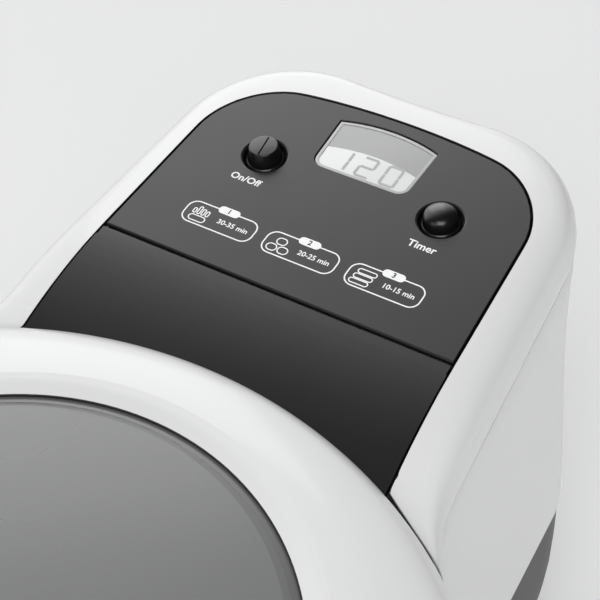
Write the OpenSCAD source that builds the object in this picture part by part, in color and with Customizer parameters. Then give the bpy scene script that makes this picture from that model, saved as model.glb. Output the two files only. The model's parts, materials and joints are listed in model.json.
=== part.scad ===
// Paddle air fryer: a pear-shaped table appliance with a hinged lid, a stirred pan and a rear control panel.
// Millimetres, Z up, the lid and pan at the front (-Y), the control panel at the rear (+Y).

/* [Body] */
// Room between the well and the outer wall, at the sides
side_room = 31.5; // [26:0.5:36]
// Room between the well and the outer wall, at the front
front_room = 10.5; // [9:0.5:14]
// Half width of the rear block under the rim
neck_half_w = 79.7; // [76:0.1:86]
// How fast the rear block widens toward the front
neck_flare = 0.08; // [0.04:0.01:0.12]
// Corner radius of the rear block
neck_corner_r = 42; // [30:1:50]
// Blend between the oval and the rear block
neck_blend = 20; // [12:1:40]
// Wall of the outer shells
wall = 2.5; // [2:0.1:3.5]
// Depth of the groove under the rim and the lid
groove_depth = 1; // [0.4:0.1:1.4]
// Height of the feet
foot_h = 5; // [3:1:8]
// Set-back of the dark base under the white wall
skirt_in = 0.6; // [0.4:0.1:1.2]
// Height where the dark base ends, front
skirt_front_z = 60; // [50:1:70]
// Height where the dark base ends, rear
skirt_rear_z = 84; // [74:1:92]

/* [Panel] */
// Height of the seam between the control panel and the hinge panel
seam_z = 209; // [205:1:215]
// Tilt of the control panel, rear higher
panel_tilt = 9; // [6:0.5:12]
// Thickness of the dark panels
panel_t = 3; // [2.4:0.1:4]
// Gap around the dark panels
panel_gap = 0.8; // [0.5:0.1:1.2]
// Half width of the panel at the seam
panel_half_w = 67.7; // [64:0.1:70]
// Length of the control panel
panel_len = 89.2; // [84:0.1:92]
// Corner radius of the control panel
panel_corner_r = 25; // [18:1:30]
// Radius of the shallow rear edge
panel_rear_r = 270; // [200:10:400]
// Depth of the parting plane below the panel
parting_depth = 20; // [17:0.5:23]

/* [Lid] */
// Distance from the seam to the edge of the body behind the lid
hinge_run = 31.8; // [29:0.1:35]
// Drop from the seam to the lid centre
lid_drop = 19.4; // [17:0.1:22]
// Tilt of the lid, rear higher
lid_tilt = 6; // [4:0.5:8]
// Distance of the lid edge inside the body, at the sides
lid_inset_w = 8.2; // [7:0.1:10]
// Distance of the lid edge inside the body, front and rear
lid_inset_d = 4; // [3.6:0.1:6]
// Height of the ring crest above the lid edge
crest_h = 7; // [5:0.5:9]
// Distance of the ring crest inside the lid edge
crest_inset = 22; // [18:0.5:26]
// Distance of the window inside the ring crest
window_inset = 6; // [4:0.5:9]
// Rise of the window dome
window_rise = 12; // [8:0.5:16]
// Lid shell thickness
lid_t = 2.5; // [2:0.1:3]

/* [Hinge] */
// Radius of the rounded hinge edge
nose_r = 4.2; // [3.8:0.1:4.5]
// Radius of the hinge pin
hinge_pin_r = 1.25; // [1:0.05:1.5]
// Reach of the hinge panel's edge behind the hinge pin
nose_lip = 3.9; // [3.5:0.1:4.2]
// Gap between the hinge edge and the control panel
nose_gap = 0.4; // [0.3:0.1:0.8]
// Curve of the hinge panel
hinge_curve_r = 156; // [140:1:180]

/* [Controls] */
// Button spacing from the centre line
button_u = 35.3; // [33:0.1:38]
// Button distance behind the seam
button_v = 53.4; // [50:0.1:56]
// Button hole radius
button_hole_r = 8; // [7:0.1:9]
// Button height above the panel
button_h = 4.8; // [4:0.1:6]
// Button travel
button_travel = 1.5; // [1:0.1:2]

/* [Pan] */
// Radius of the pan at the rim
pan_r = 112; // [108:0.5:113]
// Draft of the pan wall
pan_draft = 6; // [4:0.5:9]
// Height of the pan rim
pan_rim_z = 137; // [134:0.5:140]
// Height of the pan floor
pan_floor_z = 68; // [66:0.5:74]
// Room between the pan and the well
well_gap = 6.5; // [5:0.5:9]
// Radius of the drive shaft
shaft_r = 4; // [3:0.5:5]

/* [Handle] */
// Length of the stowed handle
handle_len = 88; // [75:1:95]
// Thickness of the handle
handle_t = 10; // [9:0.5:12]
// Half width of the handle
handle_half_w = 16; // [14:0.5:18]

/* [Hidden] */
$fn = 72;
eps = 0.01;
pan_floor_r = pan_r - pan_draft;
well_r = pan_r + well_gap;
body_half_w = well_r + side_room;
body_half_d = well_r + front_room;
lid_back = body_half_d + hinge_run;
lid_half_w = body_half_w - lid_inset_w;
lid_half_d = body_half_d - lid_inset_d;
crest_r = lid_half_d - crest_inset;
window_r = crest_r - window_inset;
rear_reach = 106.5;
front_reach = lid_back + body_half_d + handle_t + 4;
seam_y = (front_reach - rear_reach) / 2;
rear_y = seam_y + rear_reach;
lid_y = seam_y - lid_back;
lid_z = seam_z - lid_drop;
parting_z = seam_z - parting_depth / cos(panel_tilt);
run_gap = 0.05;
fit_gap = 0.2;
move_gap = 0.4;
seam_gap = 0.6;
tray_z = foot_h;
tray_t = 3;
tray_top = tray_z + tray_t;
deck_t = 2.5;
flange_t = 1.5;
deck_top = pan_rim_z - flange_t;
shelf_top = 183;
bulkhead_y = lid_y + well_r + 13.3;
hinge_v = -nose_r - 0.4;
hinge_h = sqrt(pow(hinge_curve_r - nose_r, 2) - hinge_v * hinge_v) - hinge_curve_r;
hinge_y = seam_y + hinge_v * cos(panel_tilt) - hinge_h * sin(panel_tilt);
hinge_z = seam_z + hinge_v * sin(panel_tilt) + hinge_h * cos(panel_tilt);
curve_y = seam_y + hinge_curve_r * sin(panel_tilt);
curve_z = seam_z - hinge_curve_r * cos(panel_tilt);
nose_y = hinge_y + nose_r * (hinge_y - curve_y) / (hinge_curve_r - nose_r);
fan_y = bulkhead_y + 65;
handle_y = lid_y - body_half_d - handle_t / 2 - 4;
handle_z = 130;

front_n = 31;
side_n = 17;
rear_n = 22;
lid_n = 90;
solve_n = 20;

white = [0.93, 0.93, 0.93];
dark = [0.22, 0.22, 0.23];
steel = [0.7, 0.7, 0.72];

// ---- small helpers ----
function mix(a, b, t) = a + (b - a) * t;
function ease(t) = let (c = min(max(t, 0), 1)) c * c * (3 - 2 * c);

// ---- the outline of the body, as a distance that is negative inside ----
function oval(x, y, a, b) =
  let (
    k0 = norm([x / a, y / b]),
    k1 = norm([x / (a * a), y / (b * b)])
  ) k0 < eps ? -min(a, b) : k0 * (k0 - 1) / k1;

function round_corner(a, b, r) =
  norm([max(a + r, 0), max(b + r, 0)]) + min(max(a + r, b + r), 0) - r;

function neck_w(y, z) =
  neck_half_w + (seam_y + 54 - y) * neck_flare + 8 * ease((parting_z - z) / 120);

function block(x, y, z) =
  max(round_corner(abs(x) - neck_w(y, z), y - rear_y, neck_corner_r), lid_y - y);

function blend(a, b, k) = let (h = max(k - abs(a - b), 0) / k) min(a, b) - h * h * k / 4;

function barrel(z) = z < 60 ? 7 * pow(1 - (z - foot_h) / (60 - foot_h), 2.4) : 0;

function skin(x, y, z) =
  blend(oval(x, y - lid_y, body_half_w, body_half_d), block(x, y, z), neck_blend) + barrel(z);

// ---- the control panel outline, seen from above ----
function panel_w(v) = panel_half_w - 0.045 * v;
function panel_edge(x, v) =
  round_corner(abs(x) - panel_w(v), v - panel_len + x * x / (2 * panel_rear_r), panel_corner_r);

// ---- heights of the parting plane, the dark base and the upper surface ----
function parting(y) = parting_z + (y - seam_y) * tan(panel_tilt);
function base_line(y) = mix(skirt_front_z, skirt_rear_z, ease((y + 70) / 190));
function panel_top(y) = seam_z + (y - seam_y) * tan(panel_tilt);
function hinge_top(y) =
  curve_z + sqrt(hinge_curve_r * hinge_curve_r - (y - curve_y) * (y - curve_y));
function upper(y) = y > seam_y ? panel_top(y) : max(hinge_top(y), parting(y) + 9);

// ---- rays that meet the outline: [start y, angle] on the right, from the front to the rear ----
rear_origin = seam_y + 54;
half_rays = concat(
  [for (i = [0:front_n - 1]) [lid_y, -90 + 90 * i / front_n]],
  [for (i = [0:side_n - 1]) [mix(lid_y, rear_origin, i / side_n), 0]],
  [for (i = [0:rear_n]) [rear_origin, 90 * i / rear_n]]
);
half_n = len(half_rays);
ring_n = 2 * (half_n - 1);
function ray(i) = i < half_n ? half_rays[i] : half_rays[ring_n - i];
function side_of(i) = i < half_n ? 1 : -1;

function solve(f, lo, hi, n) =
  n == 0 ? (lo + hi) / 2 : let (m = (lo + hi) / 2) f(m) > 0 ? solve(f, lo, m, n - 1) : solve(f, m, hi, n - 1);

function hit(r, level, inset) =
  solve(
    function (t) let (x = t * cos(r[1]), y = r[0] + t * sin(r[1])) skin(x, y, level(y)) + inset,
    0, 260, solve_n
  );

function ring(level, inset) = [
  for (i = [0:ring_n - 1])
    let (r = ray(i), t = hit(r, level, inset), y = r[0] + t * sin(r[1]))
      [side_of(i) * t * cos(r[1]), y, level(y)]
];

function outline_at(z, inset) = [for (p = ring(function (y) z, inset)) [p[0], p[1]]];

// ---- a surface through rings of points; it closes on itself, or has an outer and inner half at each end ----
function band(a, b, n) = [
  for (i = [0:n - 1]) each
    let (j = (i + 1) % n)
      [[a * n + i, b * n + i, b * n + j], [a * n + i, b * n + j, a * n + j]]
];
function cap(at, n, flip) = [
  for (i = [0:n / 2 - 2]) each
    let (a = at * n + i, b = a + 1, c = at * n + n - 1 - i, d = c - 1)
      flip ? [[a, b, d], [a, d, c]] : [[a, d, b], [a, c, d]]
];
module closed_loft(rings) {
  m = len(rings);
  n = len(rings[0]);
  polyhedron(
    points = [for (r = rings) each r],
    faces = [for (k = [0:m - 1]) each band(k, (k + 1) % m, n)],
    convexity = 8
  );
}
module open_loft(rings) {
  m = len(rings);
  n = len(rings[0]);
  polyhedron(
    points = [for (r = rings) each r],
    faces = concat(
      [for (k = [0:m - 2]) each band(k, k + 1, n)],
      cap(0, n, true),
      cap(m - 1, n, false)
    ),
    convexity = 8
  );
}

// ---- local frames ----
module on_panel() {
  translate([0, seam_y, seam_z]) rotate([panel_tilt, 0, 0]) children();
}
module on_lid() {
  translate([0, lid_y, lid_z]) rotate([lid_tilt, 0, 0]) children();
}
module on_pan() {
  translate([0, lid_y, 0]) children();
}
module both_sides() {
  children();
  mirror([1, 0, 0]) children();
}
module cut_shell() {
  resize([0, 0, 0]) difference() {
    children(0);
    children([1:$children - 1]);
  }
}
module along_x(x0, x1, y, z, r) {
  translate([x0, y, z]) rotate([0, 90, 0]) cylinder(r = r, h = x1 - x0);
}
module plan(z0, z1, inset) {
  translate([0, 0, z0]) linear_extrude(height = z1 - z0) polygon(outline_at((z0 + z1) / 2, inset));
}
module boxed(x0, x1, y0, y1, z0, z1) {
  translate([x0, y0, z0]) cube([x1 - x0, y1 - y0, z1 - z0]);
}

// ---- base ----
front_angle = 43.7;
function near_front(inset) =
  [(body_half_w - inset) * cos(front_angle), lid_y - (body_half_d - inset) * sin(front_angle)];
front_post = near_front(16.2);
mid_post = [neck_half_w - 5.7, seam_y - 13];
rear_post = [neck_half_w - 21.7, rear_y - 32];
foot_at = [near_front(33.6), [neck_half_w - 17.7, rear_y - 60.5]];
base_screw_at = [front_post, mid_post, rear_post];
screw_r = 1.75;
screw_head_r = 3.5;
screw_head_h = 2;

module base_tray() {
  vent_len = 70;
  vent_w = 3;
  socket_r = 33;
  color(dark) difference() {
    union() {
      plan(tray_z, tray_top, skirt_in + wall + 4 * fit_gap);
      on_pan() translate([0, 0, tray_top]) difference() {
        cylinder(r = socket_r, h = 4);
        translate([0, 0, -1]) cylinder(r = socket_r - 6, h = 6);
      }
      both_sides() translate([rear_post[0], rear_post[1], tray_top - eps])
        cylinder(r = 5, h = panel_top(rear_post[1] - 5) - panel_t / cos(panel_tilt) - tray_top);
      for (x = [-46, 46], y = [board_rear - 60, board_rear - 6])
        translate([x, y, tray_top - eps]) cylinder(r = 3.5, h = 6);
    }
    for (k = [-3:3])
      let (y = board_rear - 34 + 7 * k) boxed(-vent_len / 2, vent_len / 2, y - vent_w / 2, y + vent_w / 2,
        tray_z - 1, tray_top + 1);
    both_sides() for (p = base_screw_at) {
      translate([p[0], p[1], tray_z - 1]) cylinder(r = screw_r, h = 16);
      translate([p[0], p[1], tray_z - 1]) cylinder(r = screw_head_r + fit_gap, h = 1 + screw_head_h - 0.5);
    }
  }
}

module rubber_feet() {
  color([0.15, 0.15, 0.15]) both_sides() for (p = foot_at)
    translate([p[0], p[1], 0]) union() {
      cylinder(r1 = 8, r2 = 9.5, h = 2);
      translate([0, 0, 2]) cylinder(r = 9.5, h = foot_h - 2);
    }
}

module base_screws() {
  color(steel) both_sides() for (p = base_screw_at)
    translate([p[0], p[1], tray_z - 0.5]) difference() {
      union() {
        cylinder(r = screw_head_r, h = screw_head_h);
        cylinder(r = screw_r, h = 14);
      }
      translate([0, 0, -1]) cylinder(r = 1.4, h = 2.2, $fn = 6);
    }
}

gland_z = 34;
gland_r = 8;
cord_r = 3.5;
module lower_housing() {
  outer = [0, 0.05, 0.12, 0.22, 0.36, 0.55, 0.78, 1];
  inner = [1, 0.5, 0.22, 0.08, 0];
  function at(t) = function (y) mix(tray_z, base_line(y) - seam_gap, t);
  color(dark) cut_shell() {
    closed_loft(concat(
      [for (t = outer) ring(at(t), skirt_in)],
      [for (t = inner) ring(at(t), skirt_in + wall)]
    ));
    translate([0, rear_y + 5, gland_z]) rotate([90, 0, 0]) cylinder(r = gland_r, h = 20);
  }
}

module cable_gland() {
  depth = 11;
  flange_y = rear_y - 9.4;
  color([0.12, 0.12, 0.12]) difference() {
    union() {
      translate([0, rear_y - 0.2, gland_z]) rotate([90, 0, 0]) cylinder(r = gland_r - fit_gap, h = depth);
      translate([0, flange_y + 3, gland_z]) rotate([90, 0, 0]) cylinder(r = gland_r + 3, h = 3);
    }
    translate([0, rear_y + 1, gland_z]) rotate([90, 0, 0]) cylinder(r = cord_r, h = depth + 4);
  }
}

notch_half_w = handle_half_w + 3;
notch_z = 120;
release_z = 152;
release_half = [16, 6];
module main_housing() {
  outer = [0, 0.12, 0.3, 0.5, 0.7, 0.88, 0.975, 1];
  inner = [1, 0.6, 0.3, 0];
  function at(t) = function (y) mix(base_line(y), parting(y) - seam_gap, t);
  color(white) cut_shell() {
    closed_loft(concat(
      [for (t = outer) ring(at(t), t == 1 ? groove_depth : 0)],
      [for (t = inner) ring(at(t), wall)]
    ));
    boxed(-notch_half_w, notch_half_w, lid_y - body_half_d - 5, lid_y - 100, notch_z, 170);
    both_sides() boxed(body_half_w - 15, body_half_w + 10, lid_y - release_half[0], lid_y + release_half[0],
      release_z - release_half[1], release_z + release_half[1]);
  }
}

// ---- rear cover: a rim that runs round the panel and down both sides of the hinge panel ----
// its front ends run beside the lid's skirt
cover_origin = lid_y + body_half_d * 1.175;
cover_angle = 27.4;
cover_rays = concat(
  [for (i = [0:7]) [cover_origin, -cover_angle * (1 - i / 8)]],
  [for (i = [0:7]) [mix(cover_origin, rear_origin, i / 8), 0]],
  [for (i = [0:26]) [rear_origin, 90 * i / 26]]
);
// [distance in from the outer wall, drop from the upper surface, wall scale] for the outer and inner face
rim_outer = [
  [groove_depth + 0.2, 20], [0.2, 17.8], [0, 13], [0.7, 9], [2.0, 5.6], [4.4, 2.6], [8.2, 0.7]
];
rim_inner = [
  [wall, 20], [wall, 17.8], [wall, 14], [wall + 0.8, 10.4], [4.6, 7.6], [6.8, 4.8], [9.2, 2.4]
];
rim_lip = 1.6;
function cover_station(r, s) =
  let (
    to = hit(r, function (y) parting(y), 0),
    ti = solve(
      function (t) panel_edge(t * cos(r[1]), (r[0] + t * sin(r[1]) - seam_y) / cos(panel_tilt)) - panel_gap,
      0, 200, solve_n
    ),
    at = function (t, drop)
      let (
        y = r[0] + t * sin(r[1]),
        top = upper(y),
        low = parting(y),
        q = min((top - low) / parting_depth, 1)
      ) [s * t * cos(r[1]), y, drop >= 20 ? low : top - drop * q],
    w = min((to - ti) / 13, 1)
  ) concat(
    [for (p = rim_outer) at(to - p[0] * w, p[1])],
    [at(ti, 0)],
    [at(ti, rim_lip)],
    [for (k = [len(rim_inner) - 1:-1:0]) at(to - rim_inner[k][0] * w, rim_inner[k][1])]
  );
module rear_cover() {
  right = [for (r = cover_rays) cover_station(r, 1)];
  left = [for (k = [len(cover_rays) - 2:-1:0]) cover_station(cover_rays[k], -1)];
  color(white) open_loft(concat(right, left));
}

// ---- inner deck: carries the well, the outlet and the front of the control panel ----
grille_half_w = 45;
grille_z = [146, 172];
module inner_deck() {
  in = wall + 2 * fit_gap;
  color([0.8, 0.8, 0.8]) difference() {
    union() {
      intersection() {
        plan(deck_top - deck_t, deck_top, in);
        boxed(-200, 200, -300, bulkhead_y + deck_t, 0, 300);
      }
      intersection() {
        plan(deck_top - deck_t, shelf_top, in + 1);
        boxed(-200, 200, bulkhead_y, bulkhead_y + deck_t, deck_top - deck_t, shelf_top);
      }
      intersection() {
        plan(shelf_top - deck_t, shelf_top, in + 1);
        boxed(-200, 200, bulkhead_y, seam_y + 4.5, 0, 300);
      }
      boxed(1.7 - panel_half_w, panel_half_w - 1.7, seam_y + 2, seam_y + 4.5, shelf_top - eps,
        panel_top(seam_y + 2) - panel_t / cos(panel_tilt) - fit_gap);
      both_sides() translate([front_post[0], front_post[1], tray_top])
        cylinder(r = 4.6, h = deck_top - deck_t - tray_top + eps);
      both_sides() translate([mid_post[0], mid_post[1], tray_top])
        cylinder(r = 5, h = shelf_top - deck_t - tray_top + eps);
    }
    on_pan() translate([0, 0, deck_top - deck_t - 1]) cylinder(r = well_r + fit_gap, h = 10);
    boxed(-grille_half_w, grille_half_w, bulkhead_y - 1, bulkhead_y + deck_t + 1, grille_z[0], grille_z[1]);
    both_sides() for (p = [front_post, mid_post])
      translate([p[0], p[1], tray_top - 1]) cylinder(r = screw_r, h = 12);
    both_sides() translate([hinge_plate_x + 1.5, seam_y - 11, shelf_top - 6]) cylinder(r = 1.25, h = 10);
  }
}

module outlet_grille() {
  slat_n = 6;
  slat_t = 1.5;
  h = grille_z[1] - grille_z[0];
  color(dark) difference() {
    union() {
      boxed(-grille_half_w - 3, grille_half_w + 3, bulkhead_y - 1.6, bulkhead_y, grille_z[0] - 3, grille_z[1] + 3);
      boxed(-grille_half_w + fit_gap, grille_half_w - fit_gap, bulkhead_y - eps, bulkhead_y + deck_t,
        grille_z[0] + fit_gap, grille_z[1] - fit_gap);
    }
    for (k = [0:slat_n - 1])
      let (z = grille_z[0] + 1.5 + k * (h - 3) / slat_n)
        for (x = [-grille_half_w + 2, 1])
          boxed(x, x + grille_half_w - 3, bulkhead_y - 3, bulkhead_y + deck_t + 1, z + slat_t / 2,
            z + (h - 3) / slat_n - slat_t / 2);
  }
}

// ---- control panel ----
lens_bottom = 57.6;
lens_top = 81;
lens_half = [19, 19.7];
lens_arc = 64;
function lens_outline(d) =
  let (r = 4.5, sag = lens_arc - sqrt(lens_arc * lens_arc - lens_half[1] * lens_half[1]))
    concat(
      [for (a = [180:15:270]) [-lens_half[0] + r + (r - d) * cos(a), lens_bottom + r + (r - d) * sin(a)]],
      [for (a = [270:15:360]) [lens_half[0] - r + (r - d) * cos(a), lens_bottom + r + (r - d) * sin(a)]],
      [for (k = [0:12])
        let (x = (lens_half[1] - d) * (1 - k / 6))
          [x, lens_top - d + sqrt(lens_arc * lens_arc - x * x) - lens_arc + sag]]
    );
seam_w = 1.1;
lip_chamfer = 0.35;
panel_front_v = hinge_v + nose_lip + seam_w;
function panel_outline() =
  let (
    c = 45,
    w = panel_w(panel_front_v),
    start = atan2(panel_front_v - c, w),
    n = 60
  ) concat(
    [[-w, panel_front_v], [w, panel_front_v]],
    [for (i = [1:n - 1])
      let (
        a = mix(start, 180 - start, i / n),
        t = solve(function (t) panel_edge(t * cos(a), c + t * sin(a)), 0, 120, solve_n)
      ) [t * cos(a), c + t * sin(a)]]
  );
board_h = -12.6;
board_boss = [[40, 20], [40, 72]];
module control_panel() {
  chamfer = 0.5;
  color(dark) on_panel() difference() {
    union() {
      translate([0, 0, -panel_t]) linear_extrude(height = panel_t) polygon(panel_outline());
      both_sides() for (p = board_boss)
        translate([p[0], p[1], board_h + 1.6]) cylinder(r = 3, h = -board_h - 1.6 - panel_t + eps);
    }
    translate([0, 0, -panel_t - 1]) linear_extrude(height = panel_t + 2) polygon(lens_outline(0));
    both_sides() translate([button_u, button_v, -panel_t - 1]) cylinder(r = button_hole_r, h = panel_t + 2);
    both_sides() translate([button_u, button_v, -chamfer])
      cylinder(r1 = button_hole_r, r2 = button_hole_r + chamfer + eps, h = chamfer + eps);
    translate([0, hinge_v, hinge_h]) rotate([0, 90, 0])
      cylinder(r = norm([nose_r - lip_chamfer, nose_lip]) + nose_gap, h = 200, center = true);
  }
}
module display_lens() {
  color([0.6, 0.62, 0.62]) on_panel() translate([0, 0, -panel_t])
    linear_extrude(height = panel_t - 0.8) polygon(lens_outline(0.15));
}
module display_module() {
  color([0.3, 0.35, 0.32]) on_panel() translate([0, 71, -panel_t - fit_gap / 2]) union() {
    translate([-22, -15, -5]) cube([44, 30, 5]);
    for (x = [-18:4:18]) translate([x, -14, board_h + 1.6 + panel_t + fit_gap / 2]) cube([1, 1, 3.2]);
  }
}
module control_board() {
  color([0.1, 0.35, 0.2]) on_panel() difference() {
    translate([-46, 12, board_h]) cube([92, 73, 1.6]);
    both_sides() for (p = board_boss) translate([p[0], p[1], board_h - 1]) cylinder(r = 1.2, h = 4);
  }
}
cap_low = -4.6;
switch_top = cap_low - button_travel - 0.1;
module tact_switches() {
  color([0.15, 0.15, 0.15]) on_panel() both_sides() translate([button_u, button_v, board_h + 1.6]) union() {
    translate([-5, -5, 0]) cube([10, 10, 3.2]);
    cylinder(r = 2, h = switch_top - board_h - 1.6);
  }
}
module button_cap(top_r, dome) {
  skirt_r = button_hole_r - move_gap;
  flange_h = -panel_t - 0.3;
  difference() {
    rotate_extrude() polygon([
      [0, cap_low], [3, cap_low], [3, flange_h - 1], [button_hole_r + 1.5, flange_h - 1],
      [button_hole_r + 1.5, flange_h], [skirt_r, flange_h], [skirt_r, 0.4], [skirt_r - 1.2, 1.6],
      [top_r + 0.35, button_h - 1.4], [top_r, button_h - 0.7], [top_r - 0.7, button_h - 0.15 - dome / 3],
      [top_r / 2, button_h - dome / 5], [0, button_h]
    ]);
    if (dome == 0) rotate([0, 0, 97]) translate([-top_r + 1, -0.25, button_h - 0.45]) cube([2 * top_r - 2, 0.5, 1]);
  }
}
module on_off_button() {
  color([0.05, 0.05, 0.05]) on_panel() translate([-button_u, button_v, 0]) button_cap(5.3, 0);
}
module timer_button() {
  color([0.05, 0.05, 0.05]) on_panel() translate([button_u, button_v, 0]) button_cap(5.6, 1);
}

// ---- hinge ----
hinge_plate_x = 69;
hinge_plate_t = 2.5;
module hinge_pin() {
  color(steel) along_x(-hinge_plate_x - hinge_plate_t, hinge_plate_x + hinge_plate_t, hinge_y, hinge_z, hinge_pin_r);
}
module hinge_brackets() {
  top = hinge_z + hinge_pin_r + 0.25;
  color(steel) both_sides() difference() {
    union() {
      boxed(hinge_plate_x, hinge_plate_x + hinge_plate_t, hinge_y - 3.5, hinge_y + 3.5, shelf_top, top);
      boxed(hinge_plate_x - 3, hinge_plate_x + 6, hinge_y - 11, hinge_y + 5, shelf_top, shelf_top + 2);
    }
    along_x(hinge_plate_x - 1, hinge_plate_x + hinge_plate_t + 1, hinge_y, hinge_z, hinge_pin_r + 0.02);
    translate([hinge_plate_x + 1.5, seam_y - 11, shelf_top - 1]) cylinder(r = 1.6, h = 4);
  }
}
module deck_screws() {
  color(steel) both_sides() translate([hinge_plate_x + 1.5, seam_y - 11, shelf_top - 5]) union() {
    cylinder(r = 1.2, h = 8.6);
    translate([0, 0, 7]) cylinder(r = 2.4, h = 1.6);
  }
}
skirt_gap = 0.6;
function lid_skirt_y(x, grow) =
  lid_y + (body_half_d + grow) * sqrt(max(1 - x * x / pow(body_half_w + grow, 2), 0));
function hinge_plan() =
  let (n = 16, w0 = panel_w(0), w1 = panel_w(-50))
    concat(
      [[w0, seam_y + 5], [-w0, seam_y + 5]],
      [for (i = [0:n]) let (x = mix(-w1, w1, i / n)) [x, lid_skirt_y(x, skirt_gap)]]
    );
module hinge_panel() {
  t = 2.5;
  color(dark) difference() {
    union() {
      intersection() {
        translate([0, 0, 150]) linear_extrude(height = 80) polygon(hinge_plan());
        difference() {
          along_x(-90, 90, curve_y, curve_z, hinge_curve_r);
          along_x(-91, 91, curve_y, curve_z, hinge_curve_r - t);
          boxed(-100, 100, nose_y, 400, 0, 400);
        }
      }
      along_x(-panel_w(0), panel_w(0), hinge_y, hinge_z, nose_r);
      on_panel() translate([-panel_w(0), hinge_v, hinge_h]) rotate([90, 0, 90])
        linear_extrude(height = 2 * panel_w(0)) polygon([
          [-0.6, 0], [nose_lip, 0], [nose_lip, nose_r - lip_chamfer],
          [nose_lip - lip_chamfer, nose_r], [-0.12, nose_r]
        ]);
    }
    along_x(-100, 100, hinge_y, hinge_z, hinge_pin_r + run_gap);
  }
}
module hinge_arms() {
  arm_x = 42;
  arm_t = 4;
  color(steel) for (s = [-1, 1]) intersection() {
    difference() {
      along_x(s * arm_x - arm_t, s * arm_x + arm_t, curve_y, curve_z, hinge_curve_r - 2.6);
      along_x(-91, 91, curve_y, curve_z, hinge_curve_r - 6.5);
    }
    boxed(-90, 90, lid_skirt_y(arm_x - arm_t, skirt_gap), hinge_y - nose_r - 0.5, 150, 230);
  }
}

// ---- lid ----
function lid_low(y) =
  let (
    rise = lid_z - parting(lid_y) - (tan(panel_tilt) - tan(lid_tilt)) * y * cos(lid_tilt)
  ) -(rise - seam_gap) * cos(lid_tilt);
// [half width, half depth, height] of the shell, outside then inside, in the lid frame; without a height, the
// last value is the height above the lower edge
lid_skirt_out = [
  [body_half_w - groove_depth, body_half_d - groove_depth, undef, 0], [body_half_w, body_half_d, undef, 2.2],
  [body_half_w - 0.3, body_half_d - 0.3, -14],
  [body_half_w - 1.5, body_half_d - 1, -7.5], [lid_half_w + 4.4, lid_half_d + 2, -3.2],
  [lid_half_w, lid_half_d, 0], [lid_half_w - 5, lid_half_d - 3.6, 2.2]
];
lid_skirt_in = [
  [body_half_w - lid_t, body_half_d - lid_t, undef, 0], [body_half_w - lid_t, body_half_d - lid_t, undef, 2.2],
  [body_half_w - lid_t - 0.2, body_half_d - lid_t - 0.2, -14],
  [body_half_w - lid_t - 1.4, body_half_d - lid_t - 0.8, -8.6], [lid_half_w + 2.4, lid_half_d + 0.2, -5.4],
  [lid_half_w - 1.6, lid_half_d - 1.8, -2.6], [lid_half_w - 6, lid_half_d - 4.8, -0.6]
];
crown_at = [0.3, 0.65, 1];
crown_h = [4.4, 6.3, crest_h];
skirt_last = len(lid_skirt_out) - 1;
function lid_point(a, p) =
  let (y = p[1] * sin(a)) [p[0] * cos(a), y, p[2] == undef ? lid_low(y) + p[3] : p[2]];
function crown_point(a, k, drop) =
  let (e = lid_skirt_out[skirt_last], t = crown_at[k])
    [mix(e[0], crest_r, t) * cos(a), mix(e[1], crest_r, t) * sin(a), crown_h[k] - drop];
function lid_station(a) = concat(
  [for (p = lid_skirt_out) lid_point(a, p)],
  [for (k = [0:2]) crown_point(a, k, 0)],
  [for (k = [2:-1:0]) crown_point(a, k, lid_t)],
  [for (k = [skirt_last:-1:0]) lid_point(a, lid_skirt_in[k])]
);
module lid_frame() {
  color(white) on_lid() closed_loft([for (i = [0:lid_n - 1]) lid_station(360 * i / lid_n)]);
}
seal_t = 0.5;
module lid_seal() {
  out = groove_depth + 0.6;
  in = lid_t - 0.2;
  function seal_point(a, d, h) =
    let (y = (body_half_d - d) * sin(a)) [(body_half_w - d) * cos(a), y, lid_low(y) - h];
  color([0.2, 0.2, 0.2]) on_lid() closed_loft([
    for (i = [0:lid_n - 1])
      let (a = 360 * i / lid_n)
        [seal_point(a, in, seal_t), seal_point(a, out, seal_t), seal_point(a, out, 0), seal_point(a, in, 0)]
  ]);
}
bezel_low = 5.2;
module window_bezel() {
  color([0.85, 0.85, 0.85]) on_lid() rotate_extrude() polygon([
    [crest_r - 0.1, crest_h - 0.2], [window_r + 1, bezel_low], [window_r + 0.4, bezel_low - 0.6],
    [window_r + 0.4, 0.6], [window_r - 3, 0.6], [window_r - 3, -1.2], [crest_r + 4, -1.2],
    [crest_r + 4, crest_h - lid_t - 0.6], [crest_r - 0.1, crest_h - lid_t - 0.2]
  ]);
}
glass_t = 3;
glass_low = 1.6;
dome_r = (window_r * window_r + window_rise * window_rise) / (2 * window_rise);
module lid_window() {
  r = window_r - 0.1;
  color([0.55, 0.56, 0.57, 0.6]) on_lid() difference() {
    intersection() {
      translate([0, 0, glass_low]) cylinder(r = r, h = window_rise + glass_t + 2);
      translate([0, 0, glass_low + glass_t + window_rise - dome_r]) sphere(r = dome_r);
    }
    intersection() {
      translate([0, 0, glass_low - 1]) cylinder(r = r - 4, h = window_rise + 4);
      translate([0, 0, glass_low + window_rise - dome_r]) sphere(r = dome_r);
    }
  }
}
module window_gasket() {
  color([0.1, 0.1, 0.1]) on_lid() rotate_extrude() polygon([
    [window_r - 3, 0.6], [window_r + 0.35, 0.6], [window_r + 0.35, glass_low - 0.05], [window_r - 3, glass_low - 0.05]
  ]);
}
catch_half = 8;
module lid_catches() {
  x = body_half_w - lid_t - 0.3;
  low = release_z + release_half[1] + 1;
  color([0.3, 0.3, 0.3]) both_sides() union() {
    boxed(x - 4, x - 1, lid_y - catch_half, lid_y + catch_half, low, lid_z - 12);
    boxed(x - 6.5, x - 3.5, lid_y - catch_half, lid_y + catch_half, low, low + 3);
    boxed(x - 1 - eps, x - 0.3, lid_y - catch_half, lid_y + catch_half, lid_z - 22, lid_z - 14);
  }
}
release_travel = 3;
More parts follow.
